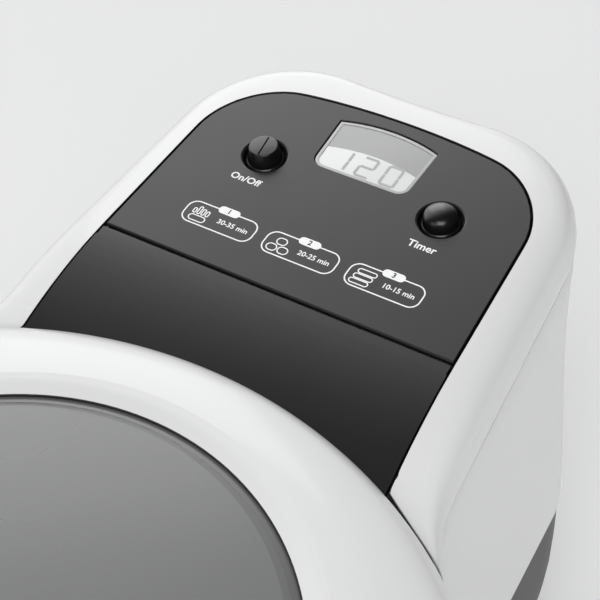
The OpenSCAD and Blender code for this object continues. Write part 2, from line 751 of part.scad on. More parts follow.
module release_slide() {
  h = release_half;
  g = move_gap;
  wall_x = body_half_w - wall;
  union() {
    boxed(wall_x - 2.5, body_half_w + 2, lid_y - h[0] + g, lid_y + h[0] - g, release_z - h[1] + g, release_z + h[1] - g);
    boxed(wall_x - 5, wall_x - 2.4, lid_y - h[0] - 3, lid_y + h[0] + 3, release_z - h[1] - 2, release_z + h[1] - 2.2);
    boxed(wall_x - 13, wall_x - 5 + eps, lid_y - 6, lid_y + 6, release_z - h[1] - 1, release_z - h[1] + 2);
  }
}
module lid_release_right() {
  color([0.75, 0.75, 0.75]) release_slide();
}
module lid_release_left() {
  color([0.75, 0.75, 0.75]) mirror([1, 0, 0]) release_slide();
}

// ---- well, pan and paddle ----
well_t = 1;
well_floor = pan_floor_z - 6;
bush_r = 8;
module pan_well() {
  color([0.45, 0.45, 0.47]) on_pan() rotate_extrude() polygon([
    [bush_r + 0.1, well_floor], [well_r - 14, well_floor], [well_r, well_floor + 12], [well_r, deck_top],
    [well_r + 5, deck_top], [well_r + 5, pan_rim_z], [well_r - well_t, pan_rim_z],
    [well_r - well_t, well_floor + 12.5], [well_r - 14.5, well_floor + well_t], [bush_r + 0.1, well_floor + well_t]
  ]);
}
pan_t = 1.5;
tube_r = 12;
tube_top = 112;
module pan() {
  color([0.18, 0.18, 0.19]) on_pan() rotate_extrude() polygon([
    [tube_r - pan_t, pan_floor_z], [pan_floor_r - 8, pan_floor_z], [pan_floor_r, pan_floor_z + 8],
    [pan_r, pan_rim_z], [pan_r + 9, pan_rim_z], [pan_r + 9, pan_rim_z + 1.2], [pan_r - pan_t, pan_rim_z + 1.2],
    [pan_floor_r - pan_t, pan_floor_z + 8.6], [pan_floor_r - 8.6, pan_floor_z + pan_t],
    [tube_r + 4, pan_floor_z + pan_t], [tube_r, pan_floor_z + pan_t + 4], [tube_r, tube_top],
    [shaft_r + 0.6, tube_top], [shaft_r + 0.6, tube_top - pan_t], [tube_r - pan_t, tube_top - pan_t]
  ]);
}
hub_top = 118;
module paddle() {
  bore = tube_r + 0.6;
  hub_low = pan_floor_z + pan_t + 6;
  reach = pan_floor_r - 7;
  blade_z = pan_floor_z + pan_t + 2.5;
  function arm(r0, r1, sweep, w) = concat(
    [for (k = [0:12]) let (r = mix(r0, r1, k / 12), a = sweep * k / 12) [r * cos(a) - w * sin(a), r * sin(a) + w * cos(a)]],
    [for (k = [12:-1:0]) let (r = mix(r0, r1, k / 12), a = sweep * k / 12) [r * cos(a) + w * sin(a), r * sin(a) - w * cos(a)]]
  );
  color([0.12, 0.12, 0.12]) on_pan() union() {
    rotate_extrude() polygon([
      [bore, hub_low], [bore + 7, hub_low], [bore + 2.5, hub_low + 16], [bore + 2.5, hub_top - 4],
      [bore - 2, hub_top], [9, hub_top], [9, hub_top + 10], [7, hub_top + 12], [0, hub_top + 12],
      [0, hub_top + 4], [shaft_r + 0.02, hub_top + 4], [shaft_r + 0.02, tube_top + 1.5], [bore, tube_top + 1.5]
    ]);
    translate([0, 0, blade_z]) linear_extrude(height = 13) polygon(arm(bore + 4, reach, 42, 2.2));
    rotate([0, 0, 180]) translate([0, 0, blade_z]) linear_extrude(height = 16) polygon(arm(bore + 4, reach - 27, 55, 2.2));
    rotate([0, 0, 30]) translate([0, 0, blade_z]) linear_extrude(height = 3) polygon(arm(reach - 25, reach, 12, 8));
  }
}
module drive_shaft() {
  color(steel) on_pan() translate([0, 0, 55.5]) cylinder(r = shaft_r, h = hub_top + 3.8 - 55.5);
}
module shaft_bushing() {
  color([0.7, 0.55, 0.25]) on_pan() translate([0, 0, 55]) difference() {
    union() {
      cylinder(r = bush_r, h = 12);
      cylinder(r = bush_r + 6, h = well_floor - 55);
    }
    translate([0, 0, -1]) cylinder(r = shaft_r + run_gap, h = 14);
  }
}
module gear_motor() {
  color([0.6, 0.6, 0.62]) on_pan() difference() {
    union() {
      translate([0, 0, tray_top + 4]) cylinder(r = 30, h = 26);
      translate([0, 0, tray_top + 30 - eps]) cylinder(r = 37, h = 17 + eps);
      for (a = [45:90:315]) rotate([0, 0, a]) translate([40, 0, 51]) cylinder(r = 5, h = 4);
      for (a = [45:90:315]) rotate([0, 0, a]) translate([30, -4, 51]) cube([10, 8, 4]);
    }
    translate([0, 0, 52]) cylinder(r = shaft_r + 1, h = 4);
  }
}

// ---- handle ----
ear_x = 13;
ear_t = 2;
module pan_bracket() {
  plate_y = lid_y - body_half_d - 1.6;
  z = pan_rim_z + 1.2;
  color(steel) difference() {
    union() {
      boxed(-ear_x - ear_t, ear_x + ear_t, plate_y - 1.8, lid_y - pan_r - 2, z, z + 2);
      boxed(-ear_x - ear_t, ear_x + ear_t, plate_y - 1.8, plate_y, handle_z - 6, z + 2);
      for (s = [-1, 1])
        boxed(s > 0 ? ear_x : -ear_x - ear_t, s > 0 ? ear_x + ear_t : -ear_x, handle_y - 4, plate_y, handle_z - 4, handle_z + 4);
    }
    along_x(-50, 50, handle_y, handle_z, handle_pin_r + 0.02);
  }
}
handle_pin_r = 1.5;
module handle_pin() {
  color(steel) along_x(-ear_x - ear_t - 0.5, ear_x + ear_t + 0.5, handle_y, handle_z, handle_pin_r);
}
handle_low = handle_z - handle_len;
release_pocket = [5, handle_z - 34, handle_z - 20];
module pan_handle() {
  r = handle_t / 2;
  neck = ear_x - 0.5;
  w = handle_half_w;
  color(dark) difference() {
    union() {
      along_x(-neck, neck, handle_y, handle_z, r);
      boxed(-neck, neck, handle_y - r, handle_y + r, handle_z - 10, handle_z);
      translate([0, handle_y + r, 0]) rotate([90, 0, 0]) linear_extrude(height = handle_t) polygon(concat(
        [[-w, handle_z - 9], [w, handle_z - 9]],
        [for (a = [0:-10:-180]) [w * cos(a) * 0.94, handle_low + w * 0.6 + w * 0.6 * sin(a)]]
      ));
    }
    along_x(-50, 50, handle_y, handle_z, handle_pin_r + run_gap);
    boxed(-release_pocket[0], release_pocket[0], handle_y - r - 1, handle_y - r + 4, release_pocket[1] - 3,
      release_pocket[2]);
    boxed(-9, 9, handle_y - 1, handle_y + r + 1, handle_low + 14, release_pocket[1] - 8);
  }
}
module handle_release() {
  r = handle_t / 2;
  g = move_gap;
  x = release_pocket[0] - g;
  color([0.5, 0.5, 0.5]) difference() {
    boxed(-x, x, handle_y - r + 0.2, handle_y - r + 3.6, release_pocket[1] + g, release_pocket[2] - g);
    for (k = [0:3])
      boxed(-x + 1, x - 1, handle_y - r - 1, handle_y - r + 0.7, release_pocket[1] + 3 + 2.4 * k,
        release_pocket[1] + 4 + 2.4 * k);
  }
}

// ---- hot air ----
duct_w = 50;
duct_z = [142, 178];
scroll_r = 50;
scroll_z = 108;
duct_t = 1.5;
duct_rear = fan_y + 48;
module air_duct() {
  color([0.66, 0.67, 0.68]) difference() {
    union() {
      boxed(-duct_w, duct_w, bulkhead_y + deck_t + 0.1, duct_rear, duct_z[0], duct_z[1]);
      translate([0, fan_y, scroll_z]) cylinder(r = scroll_r, h = duct_z[0] - scroll_z + 1);
    }
    boxed(-duct_w + duct_t, duct_w - duct_t, bulkhead_y, duct_rear - duct_t, duct_z[0] + duct_t, duct_z[1] - duct_t);
    translate([0, fan_y, scroll_z + duct_t]) cylinder(r = scroll_r - duct_t - 0.5, h = duct_z[0] - scroll_z + 2);
    translate([0, fan_y, scroll_z - 1]) cylinder(r = 25, h = 4);
  }
}
fan_shaft_r = 3;
module fan_motor() {
  color([0.55, 0.55, 0.57]) translate([0, fan_y, 0]) difference() {
    union() {
      translate([0, 0, 56]) cylinder(r = 26, h = 36 + eps);
      translate([0, 0, 92]) cylinder(r = 38, h = 2);
      for (a = [30:120:270]) rotate([0, 0, a]) translate([33, 0, 94 - eps]) cylinder(r = 3, h = scroll_z - 94 + eps);
    }
    translate([0, 0, 90]) cylinder(r = fan_shaft_r + run_gap, h = 5);
    for (a = [90:120:330]) rotate([0, 0, a]) translate([32, 0, 91]) cylinder(r = 4, h = 4);
  }
}
module fan_impeller() {
  blades = 12;
  z = scroll_z + 5;
  color([0.72, 0.72, 0.74]) translate([0, fan_y, 0]) union() {
    translate([0, 0, 90.5]) cylinder(r = fan_shaft_r, h = z + 8 - 90.5);
    translate([0, 0, z + 4]) cylinder(r = 9, h = 12);
    translate([0, 0, z + 20]) cylinder(r = 44, h = 1.5);
    translate([0, 0, z + 15]) cylinder(r = 8, h = 6);
    for (k = [0:blades - 1]) rotate([0, 0, 360 * k / blades]) translate([28, 0, z]) rotate([0, 0, 35])
      translate([0, -0.6, 0]) cube([14, 1.2, 20 + eps]);
  }
}
module heater_element() {
  r = 3.2;
  pitch = 14;
  half = 34;
  z = 161;
  y0 = bulkhead_y + 12;
  color([0.5, 0.42, 0.38]) union() {
    for (k = [0:3]) along_x(-half - eps, half + eps, y0 + pitch * k, z, r);
    for (k = [0:2])
      translate([k % 2 == 0 ? half : -half, y0 + pitch * (k + 0.5), z])
        intersection() {
          rotate_extrude() translate([pitch / 2, 0]) circle(r = r);
          boxed(k % 2 == 0 ? 0 : -20, k % 2 == 0 ? 20 : 0, -20, 20, -10, 10);
        }
    for (k = [0, 3]) translate([-half, y0 + pitch * k, z - eps]) cylinder(r = r, h = duct_z[1] - duct_t - z);
  }
}
module thermal_cutout() {
  color([0.8, 0.75, 0.6]) translate([20, fan_y + 10, duct_z[1]]) union() {
    cylinder(r = 9, h = 2);
    cylinder(r = 7, h = 8);
    for (x = [-4, 4]) translate([x - 1.5, -0.4, 7]) cube([3, 0.8, 6]);
  }
}

// ---- power electronics ----
board_z = tray_top + 6;
board_rear = rear_y - 22.5;
module power_board() {
  color([0.12, 0.38, 0.22]) boxed(-51, 51, board_rear - 66, board_rear, board_z, board_z + 1.6);
}
module power_components() {
  z = board_z + 1.6;
  color([0.3, 0.3, 0.35]) union() {
    boxed(-44, -14, board_rear - 56, board_rear - 28, z, z + 24);
    boxed(10, 30, board_rear - 18, board_rear - 4, z, z + 16);
    for (x = [4, 20, 36]) translate([x, board_rear - 50, z]) cylinder(r = 6.5, h = 20);
    boxed(-46, -16, board_rear - 25, board_rear - 6, z, z + 10);
  }
}
module wiring_harness() {
  z = board_z + 1.6;
  x = -62;
  y = board_rear - 22;
  r = 2.2;
  top = 203.5;
  wire_r = 1.5;
  run_z = z + 26;
  color([0.6, 0.2, 0.2]) union() {
    along_x(x, -46.3, y, z + 5, r);
    translate([x, y, z + 5]) sphere(r = r);
    translate([x, y, z + 5]) cylinder(r = r, h = top - z - 5);
    translate([x, y, top]) sphere(r = r);
    along_x(x, -40, y, top, r);
    for (wx = [-22, -30]) {
      translate([wx, y + 10, z + 10.2]) cylinder(r = wire_r, h = run_z - z - 10.2);
      translate([wx, y + 10, run_z]) sphere(r = wire_r);
      translate([wx, board_rear - 44, run_z]) rotate([-90, 0, 0]) cylinder(r = wire_r, h = 32);
    }
  }
}

base_tray();
lower_housing();
main_housing();
rear_cover();
inner_deck();
control_panel();
display_lens();
display_module();
control_board();
tact_switches();
on_off_button();
timer_button();
hinge_pin();
hinge_brackets();
hinge_panel();
hinge_arms();
lid_frame();
lid_seal();
window_bezel();
window_gasket();
lid_window();
lid_catches();
lid_release_right();
lid_release_left();
pan_well();
pan();
pan_bracket();
handle_pin();
pan_handle();
handle_release();
gear_motor();
shaft_bushing();
drive_shaft();
paddle();
fan_motor();
fan_impeller();
air_duct();
heater_element();
thermal_cutout();
outlet_grille();
power_board();
power_components();
wiring_harness();
cable_gland();
rubber_feet();
base_screws();
deck_screws();
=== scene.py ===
"""Looks of the paddle air fryer: finishes, graphics, refined shells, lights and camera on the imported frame."""

from __future__ import annotations

import json
import logging
import math
from dataclasses import dataclass
from enum import Enum
from typing import Callable, Iterable, Sequence

import bmesh
import bpy
from mathutils import Matrix, Vector

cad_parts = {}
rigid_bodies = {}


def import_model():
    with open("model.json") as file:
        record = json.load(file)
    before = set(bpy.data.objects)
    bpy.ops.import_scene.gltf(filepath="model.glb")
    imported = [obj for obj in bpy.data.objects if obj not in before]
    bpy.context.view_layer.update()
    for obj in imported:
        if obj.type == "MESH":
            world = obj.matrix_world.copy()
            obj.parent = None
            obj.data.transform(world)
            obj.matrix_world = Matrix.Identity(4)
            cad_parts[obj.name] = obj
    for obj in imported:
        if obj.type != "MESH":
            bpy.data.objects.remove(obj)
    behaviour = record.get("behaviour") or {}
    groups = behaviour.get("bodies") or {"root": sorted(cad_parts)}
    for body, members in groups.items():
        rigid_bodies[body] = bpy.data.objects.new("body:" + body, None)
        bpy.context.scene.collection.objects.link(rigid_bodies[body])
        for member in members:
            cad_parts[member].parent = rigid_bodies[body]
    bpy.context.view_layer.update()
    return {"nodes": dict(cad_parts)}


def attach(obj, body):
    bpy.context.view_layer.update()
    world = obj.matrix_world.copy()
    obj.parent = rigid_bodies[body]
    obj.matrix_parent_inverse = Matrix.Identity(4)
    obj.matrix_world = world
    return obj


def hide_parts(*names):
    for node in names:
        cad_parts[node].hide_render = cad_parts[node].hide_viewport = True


LOG = logging.getLogger("air_fryer")
MM = 0.001
WELD = 2e-6
JOIN_ANGLE = 60
FLAT_ANGLE = 1.0
CREASE_ANGLE = 50
CREASE = 0.85
EDGE_ANGLE = 40.0
EDGE_STEPS = 2
COAT_ROUGHNESS = 0.06

SEAM = Vector((0.0, 98.65, 209.0)) * MM
PANEL_TILT = math.radians(9)
LID_CENTRE = Vector((0.0, -62.15, 189.6)) * MM
LID_TILT = math.radians(6)
ON_PANEL = Matrix.Translation(SEAM) @ Matrix.Rotation(PANEL_TILT, 4, "X")
ON_LID = Matrix.Translation(LID_CENTRE) @ Matrix.Rotation(LID_TILT, 4, "X")

Point2 = tuple[float, float]


# ---------------------------------------------------------------- materials


class Surface(Enum):
    """How the relief of a finish is made."""

    MOULDED = "moulded"
    BRUSHED = "brushed"


def new_socket(tree: bpy.types.NodeTree, name: str, kind: str, out: bool = False, value: float | None = None) -> None:
    """Add one socket to a node group's interface.

    Args:
        tree: the node group.
        name: the socket's name.
        kind: the socket's type.
        out: True for an output.
        value: the default of an input.
    """
    socket = tree.interface.new_socket(name=name, in_out="OUTPUT" if out else "INPUT", socket_type=kind)
    if value is not None:
        socket.default_value = value


def grain_group() -> bpy.types.NodeTree:
    """A shared group: fine moulded grain, broad mottling and rare scuffs, from object coordinates.

    Returns:
        The node group, made once.
    """
    name = "SurfaceGrain"
    if name in bpy.data.node_groups:
        return bpy.data.node_groups[name]
    tree = bpy.data.node_groups.new(name, "ShaderNodeTree")
    new_socket(tree, "Vector", "NodeSocketVector")
    new_socket(tree, "Fine", "NodeSocketFloat", value=900.0)
    new_socket(tree, "Broad", "NodeSocketFloat", value=14.0)
    new_socket(tree, "Height", "NodeSocketFloat", out=True)
    new_socket(tree, "Mottle", "NodeSocketFloat", out=True)
    new_socket(tree, "Scuff", "NodeSocketFloat", out=True)
    nodes, links = tree.nodes, tree.links
    inp, out = nodes.new("NodeGroupInput"), nodes.new("NodeGroupOutput")
    fine = nodes.new("ShaderNodeTexNoise")
    fine.inputs["Detail"].default_value = 3.0
    cells = nodes.new("ShaderNodeTexVoronoi")
    cells.feature = "SMOOTH_F1"
    broad = nodes.new("ShaderNodeTexNoise")
    broad.inputs["Detail"].default_value = 2.0
    scuff = nodes.new("ShaderNodeTexNoise")
    scuff.inputs["Scale"].default_value = 60.0
    scuff.inputs["Distortion"].default_value = 1.4
    limit = nodes.new("ShaderNodeMapRange")
    limit.inputs["From Min"].default_value = 0.62
    limit.inputs["From Max"].default_value = 0.8
    mix = nodes.new("ShaderNodeMix")
    mix.inputs["Factor"].default_value = 0.45
    for node in (fine, cells, broad, scuff):
        links.new(inp.outputs["Vector"], node.inputs["Vector"])
    links.new(inp.outputs["Fine"], fine.inputs["Scale"])
    links.new(inp.outputs["Fine"], cells.inputs["Scale"])
    links.new(inp.outputs["Broad"], broad.inputs["Scale"])
    links.new(fine.outputs["Fac"], mix.inputs["A"])
    links.new(cells.outputs["Distance"], mix.inputs["B"])
    links.new(scuff.outputs["Fac"], limit.inputs["Value"])
    links.new(mix.outputs["Result"], out.inputs["Height"])
    links.new(broad.outputs["Fac"], out.inputs["Mottle"])
    links.new(limit.outputs["Result"], out.inputs["Scuff"])
    return tree


def brush_group() -> bpy.types.NodeTree:
    """A shared group: fine drawn lines along one axis, for worked metal.

    Returns:
        The node group, made once.
    """
    name = "DrawnLines"
    if name in bpy.data.node_groups:
        return bpy.data.node_groups[name]
    tree = bpy.data.node_groups.new(name, "ShaderNodeTree")
    new_socket(tree, "Vector", "NodeSocketVector")
    new_socket(tree, "Height", "NodeSocketFloat", out=True)
    nodes, links = tree.nodes, tree.links
    inp, out = nodes.new("NodeGroupInput"), nodes.new("NodeGroupOutput")
    stretch = nodes.new("ShaderNodeMapping")
    stretch.inputs["Scale"].default_value = (40.0, 1600.0, 1600.0)
    lines = nodes.new("ShaderNodeTexNoise")
    lines.inputs["Scale"].default_value = 1.0
    lines.inputs["Detail"].default_value = 4.0
    links.new(inp.outputs["Vector"], stretch.inputs["Vector"])
    links.new(stretch.outputs["Vector"], lines.inputs["Vector"])
    links.new(lines.outputs["Fac"], out.inputs["Height"])
    return tree


@dataclass(frozen=True)
class Finish:
    """One finish: its colour, gloss and relief, built as a procedural material.

    Args:
        name: the material's name.
        colour: linear base colour.
        roughness: mean roughness.
        metallic: 1 for a bare metal.
        coat: strength of the clear top layer.
        surface: how the relief is made.
        grain: grains per metre of the fine relief.
        depth: bump distance in metres.
        mottle: share by which the colour wanders.
        wander: how far the roughness wanders.
        see_through: transmission weight.
        glow: strength of its own light.
        specular: strength of its plain reflection.
    """

    name: str
    colour: tuple[float, float, float]
    roughness: float
    metallic: float = 0.0
    coat: float = 0.0
    surface: Surface = Surface.MOULDED
    grain: float = 1100.0
    depth: float = 0.00002
    mottle: float = 0.04
    wander: float = 0.06
    see_through: float = 0.0
    glow: float = 0.0
    specular: float = 0.5

    def build(self) -> bpy.types.Material:
        """Make the material, or return it if it is already there.

        Returns:
            The material.
        """
        if self.name in bpy.data.materials:
            return bpy.data.materials[self.name]
        mat = bpy.data.materials.new(self.name)
        mat.use_nodes = True
        nodes, links = mat.node_tree.nodes, mat.node_tree.links
        shader = nodes["Principled BSDF"]
        coords = nodes.new("ShaderNodeTexCoord")
        grain = nodes.new("ShaderNodeGroup")
        grain.node_tree = grain_group()
        grain.inputs["Fine"].default_value = self.grain
        links.new(coords.outputs["Object"], grain.inputs["Vector"])

        tint = nodes.new("ShaderNodeMix")
        tint.data_type = "RGBA"
        low = tuple(c * (1 - self.mottle) for c in self.colour)
        high = tuple(min(c * (1 + self.mottle), 1.0) for c in self.colour)
        tint.inputs["A"].default_value = (*low, 1.0)
        tint.inputs["B"].default_value = (*high, 1.0)
        links.new(grain.outputs["Mottle"], tint.inputs["Factor"])
        links.new(tint.outputs["Result"], shader.inputs["Base Color"])

        rough = nodes.new("ShaderNodeMapRange")
        rough.inputs["To Min"].default_value = max(self.roughness - self.wander, 0.02)
        rough.inputs["To Max"].default_value = min(self.roughness + self.wander, 1.0)
        links.new(grain.outputs["Scuff" if self.coat else "Mottle"], rough.inputs["Value"])
        links.new(rough.outputs["Result"], shader.inputs["Roughness"])

        bump = nodes.new("ShaderNodeBump")
        bump.inputs["Distance"].default_value = self.depth
        bump.inputs["Strength"].default_value = 1.0
        if self.surface is Surface.BRUSHED:
            lines = nodes.new("ShaderNodeGroup")
            lines.node_tree = brush_group()
            links.new(coords.outputs["Object"], lines.inputs["Vector"])
            links.new(lines.outputs["Height"], bump.inputs["Height"])
        else:
            links.new(grain.outputs["Height"], bump.inputs["Height"])
        links.new(bump.outputs["Normal"], shader.inputs["Normal"])

        shader.inputs["Metallic"].default_value = self.metallic
        shader.inputs["Coat Weight"].default_value = self.coat
        shader.inputs["Coat Roughness"].default_value = COAT_ROUGHNESS
        shader.inputs["Specular IOR Level"].default_value = self.specular
        shader.inputs["Transmission Weight"].default_value = self.see_through
        if self.glow:
            shader.inputs["Emission Color"].default_value = (*self.colour, 1.0)
            shader.inputs["Emission Strength"].default_value = self.glow
        return mat


WHITE = Finish("white_gloss", (0.87, 0.87, 0.87), 0.3, coat=0.3, grain=700, depth=0.000004, mottle=0.008,
               wander=0.02)
CREAM_GREY = Finish("grey_satin", (0.70, 0.70, 0.70), 0.36, grain=900, depth=0.00001, mottle=0.02)
DARK = Finish("dark_satin", (0.014, 0.014, 0.015), 0.45, grain=1500, depth=0.00002, mottle=0.10)
PANEL = Finish("panel_satin", (0.009, 0.009, 0.0094), 0.33, grain=1900, depth=0.000008, mottle=0.10, wander=0.03)
BLACK = Finish("black_satin", (0.014, 0.014, 0.014), 0.4, grain=1400, depth=0.00002, mottle=0.1)
BLACK_GLOSS = Finish("black_gloss", (0.006, 0.006, 0.006), 0.34, coat=0.15, depth=0.000003, mottle=0.1)
# Painted shade: a near-black matt sheet for the inside of the slot on the On/Off cap.
SLOT_SHADE = Finish("slot_shade_matt", (0.001, 0.001, 0.001), 0.9, depth=0.000002, mottle=0.1, specular=0.1)
LENS = Finish("lens_pale", (0.80, 0.81, 0.80), 0.2, coat=1.0, depth=0.000002, mottle=0.03)
SMOKE = Finish("smoke_window", (0.35, 0.352, 0.355), 0.28, specular=0.25, depth=0.000002, mottle=0.03,
               see_through=0.4)
SMOKE_EDGE = Finish("smoke_edge", (0.15, 0.15, 0.152), 0.3, depth=0.000002, mottle=0.03)
BOARD = Finish("board_mask", (0.012, 0.075, 0.03), 0.3, grain=2200, mottle=0.2)
RUBBER = Finish("rubber_matt", (0.016, 0.016, 0.016), 0.75, grain=1600, depth=0.00004, mottle=0.15)
DARK_STEEL = Finish("steel_blackened", (0.05, 0.05, 0.052), 0.4, 0.8, depth=0.00001, mottle=0.1)
STEEL = Finish("steel_brushed", (0.56, 0.56, 0.57), 0.26, 1.0, surface=Surface.BRUSHED, depth=0.00001, mottle=0.05)
ALUMINIUM = Finish("aluminium_satin", (0.68, 0.68, 0.69), 0.34, 1.0, surface=Surface.BRUSHED, depth=0.00001)
COATED = Finish("pan_coating", (0.022, 0.022, 0.023), 0.35, grain=2400, depth=0.00003, mottle=0.3)
MOTOR = Finish("motor_can", (0.40, 0.40, 0.41), 0.35, 0.9, surface=Surface.BRUSHED, mottle=0.08)
BRASS = Finish("brass_satin", (0.62, 0.44, 0.18), 0.3, 1.0, surface=Surface.BRUSHED)
DUCT = Finish("duct_sheet", (0.56, 0.57, 0.58), 0.4, 0.9, surface=Surface.BRUSHED, mottle=0.1)
HEATER = Finish("heater_sheath", (0.22, 0.17, 0.14), 0.45, 0.9, grain=800, mottle=0.3)
WIRE = Finish("wire_sleeve", (0.30, 0.03, 0.025), 0.45, grain=1200, mottle=0.12)
# White print; it also glows a little, as painted light, to stay bright.
INK = Finish("print_white_painted_glow", (0.86, 0.86, 0.86), 0.5, grain=1800, depth=0.000002, mottle=0.02, glow=0.25)
DARK_INK = Finish("print_dark", (0.03, 0.03, 0.03), 0.5, grain=1800, depth=0.000002, mottle=0.05)
DIGIT = Finish("digit_grey", (0.5, 0.5, 0.5), 0.4, depth=0.000002, mottle=0.02)
# Grey of the painted shadow that the panel's edge casts on the display's upper field; the display's thin line uses it
# too.
SHADE = Finish("lens_shade", (0.365, 0.37, 0.365), 0.25, coat=0.5, depth=0.000002, mottle=0.04)
LENS_RIM = Finish("lens_rim", (0.48, 0.48, 0.48), 0.2, coat=0.6, depth=0.000002, mottle=0.03)
FLOOR = Finish("floor_pale", (0.92, 0.92, 0.92), 0.9, grain=60, depth=0.00001, mottle=0.01, glow=0.15)


# ---------------------------------------------------------------- mesh tools


def mesh_object(name: str, bm: bmesh.types.BMesh, finish: Finish, smooth: float = 35.0) -> bpy.types.Object:
    """Turn a bmesh into an object at the origin with one finish.

    Args:
        name: the object's name.
        bm: the mesh, in metres in the row frame; it is freed.
        finish: the finish.
        smooth: edges sharper than this many degrees stay sharp.

    Returns:
        The object.
    """
    bmesh.ops.recalc_face_normals(bm, faces=bm.faces)
    mesh = bpy.data.meshes.new(name)
    bm.to_mesh(mesh)
    bm.free()
    for poly in mesh.polygons:
        poly.use_smooth = True
    mesh.set_sharp_from_angle(angle=math.radians(smooth))
    mesh.materials.append(finish.build())
    obj = bpy.data.objects.new(name, mesh)
    bpy.context.scene.collection.objects.link(obj)
    return obj


def round_edges(obj: bpy.types.Object, width: float) -> None:
    """Give an object's sharp edges a small radius, and weight its normals by the size of its faces.

    Args:
        obj: the object.
        width: radius in metres.
    """
    mod = obj.modifiers.new("edge_radius", "BEVEL")
    mod.width = width
    mod.segments = EDGE_STEPS
    mod.limit_method = "ANGLE"
    mod.angle_limit = math.radians(EDGE_ANGLE)
    mod.use_clamp_overlap = True
    weight = obj.modifiers.new("face_weight", "WEIGHTED_NORMAL")
    weight.keep_sharp = True


def spin_profile(name: str, profile: Sequence[Point2], place: Matrix, finish: Finish, steps: int = 128,
                 smooth: float = 35.0) -> bpy.types.Object:
    """Turn a closed profile of (radius, height) points in millimetres round the local Z axis.

    Args:
        name: the object's name.
        profile: the closed outline.
        place: the local frame.
        finish: the finish.
        steps: steps round the axis.
        smooth: edges sharper than this many degrees stay sharp.

    Returns:
        The object.
    """
    bm = bmesh.new()
    verts = [bm.verts.new((r * MM, 0.0, z * MM)) for r, z in profile]
    edges = [bm.edges.new((a, b)) for a, b in zip(verts, verts[1:] + verts[:1])]
    bmesh.ops.spin(bm, geom=verts + edges, cent=(0, 0, 0), axis=(0, 0, 1), angle=math.tau, steps=steps, use_merge=True)
    bmesh.ops.remove_doubles(bm, verts=bm.verts, dist=1e-7)
    bm.transform(place)
    return mesh_object(name, bm, finish, smooth)


def rounded_outline(half_w: float, half_h: float, radius: float, steps: int = 6) -> list[Point2]:
    """The points of a rounded rectangle about the origin, in millimetres.

    Args:
        half_w: half its width.
        half_h: half its height.
        radius: corner radius.
        steps: steps in a corner.

    Returns:
        The outline, anticlockwise.
    """
    points = []
    for cx, cy, start in ((1, -1, -90), (1, 1, 0), (-1, 1, 90), (-1, -1, 180)):
        for k in range(steps + 1):
            a = math.radians(start + 90 * k / steps)
            x = cx * (half_w - radius) + radius * math.cos(a)
            points.append((x, cy * (half_h - radius) + radius * math.sin(a)))
    return points


def add_ring(bm: bmesh.types.BMesh, outer: Sequence[Point2], inner: Sequence[Point2], at: Point2, z: float,
             height: float) -> None:
    """Add a thin flat ring between two outlines with as many points.

    Args:
        bm: the mesh that gets it.
        outer: outer outline in millimetres.
        inner: inner outline in millimetres.
        at: where its centre goes.
        z: height of its underside.
        height: its thickness.
    """
    loops = []
    for outline in (outer, inner):
        verts = [bm.verts.new(((x + at[0]) * MM, (y + at[1]) * MM, z * MM)) for x, y in outline]
        loops += [bm.edges.new((a, b)) for a, b in zip(verts, verts[1:] + verts[:1])]
    made = bmesh.ops.bridge_loops(bm, edges=loops)
    raised = bmesh.ops.extrude_face_region(bm, geom=made["faces"])
    verts = [v for v in raised["geom"] if isinstance(v, bmesh.types.BMVert)]
    bmesh.ops.translate(bm, verts=verts, vec=(0, 0, height * MM))


def add_plate(bm: bmesh.types.BMesh, outline: Sequence[Point2], at: Point2, z: float, height: float) -> None:
    """Add a thin flat plate of any outline.

    Args:
        bm: the mesh that gets it.
        outline: the outline in millimetres.
        at: where its origin goes.
        z: height of its underside.
        height: its thickness.
    """
    face = bm.faces.new([bm.verts.new(((x + at[0]) * MM, (y + at[1]) * MM, z * MM)) for x, y in outline])
    raised = bmesh.ops.extrude_face_region(bm, geom=[face])
    verts = [v for v in raised["geom"] if isinstance(v, bmesh.types.BMVert)]
    bmesh.ops.translate(bm, verts=verts, vec=(0, 0, height * MM))


def add_text(bm: bmesh.types.BMesh, words: str, size: float, at: Point2, z: float, height: float,
             weight: float) -> None:
    """Add raised lettering, centred on a point.

    Args:
        bm: the mesh that gets it.
        words: the generic words or numbers.
        size: letter size in millimetres.
        at: its centre.
        z: height of its underside.
        height: its thickness.
        weight: how much bolder each stroke is, in millimetres.
    """
    curve = bpy.data.curves.new("lettering", "FONT")
    curve.body = words
    curve.size = size * MM
    curve.align_x = "CENTER"
    curve.align_y = "CENTER"
    curve.extrude = height * MM / 2
    curve.offset = weight * MM
    curve.resolution_u = 3
    carrier = bpy.data.objects.new("lettering", curve)
    bpy.context.scene.collection.objects.link(carrier)
    bpy.context.view_layer.update()
    mesh = bpy.data.meshes.new_from_object(carrier.evaluated_get(bpy.context.evaluated_depsgraph_get()))
    mesh.transform(Matrix.Translation((at[0] * MM, at[1] * MM, (z + height / 2) * MM)))
    bm.from_mesh(mesh)
    bpy.data.objects.remove(carrier)
    bpy.data.curves.remove(curve)
    bpy.data.meshes.remove(mesh)


# ---------------------------------------------------------------- sub-assemblies


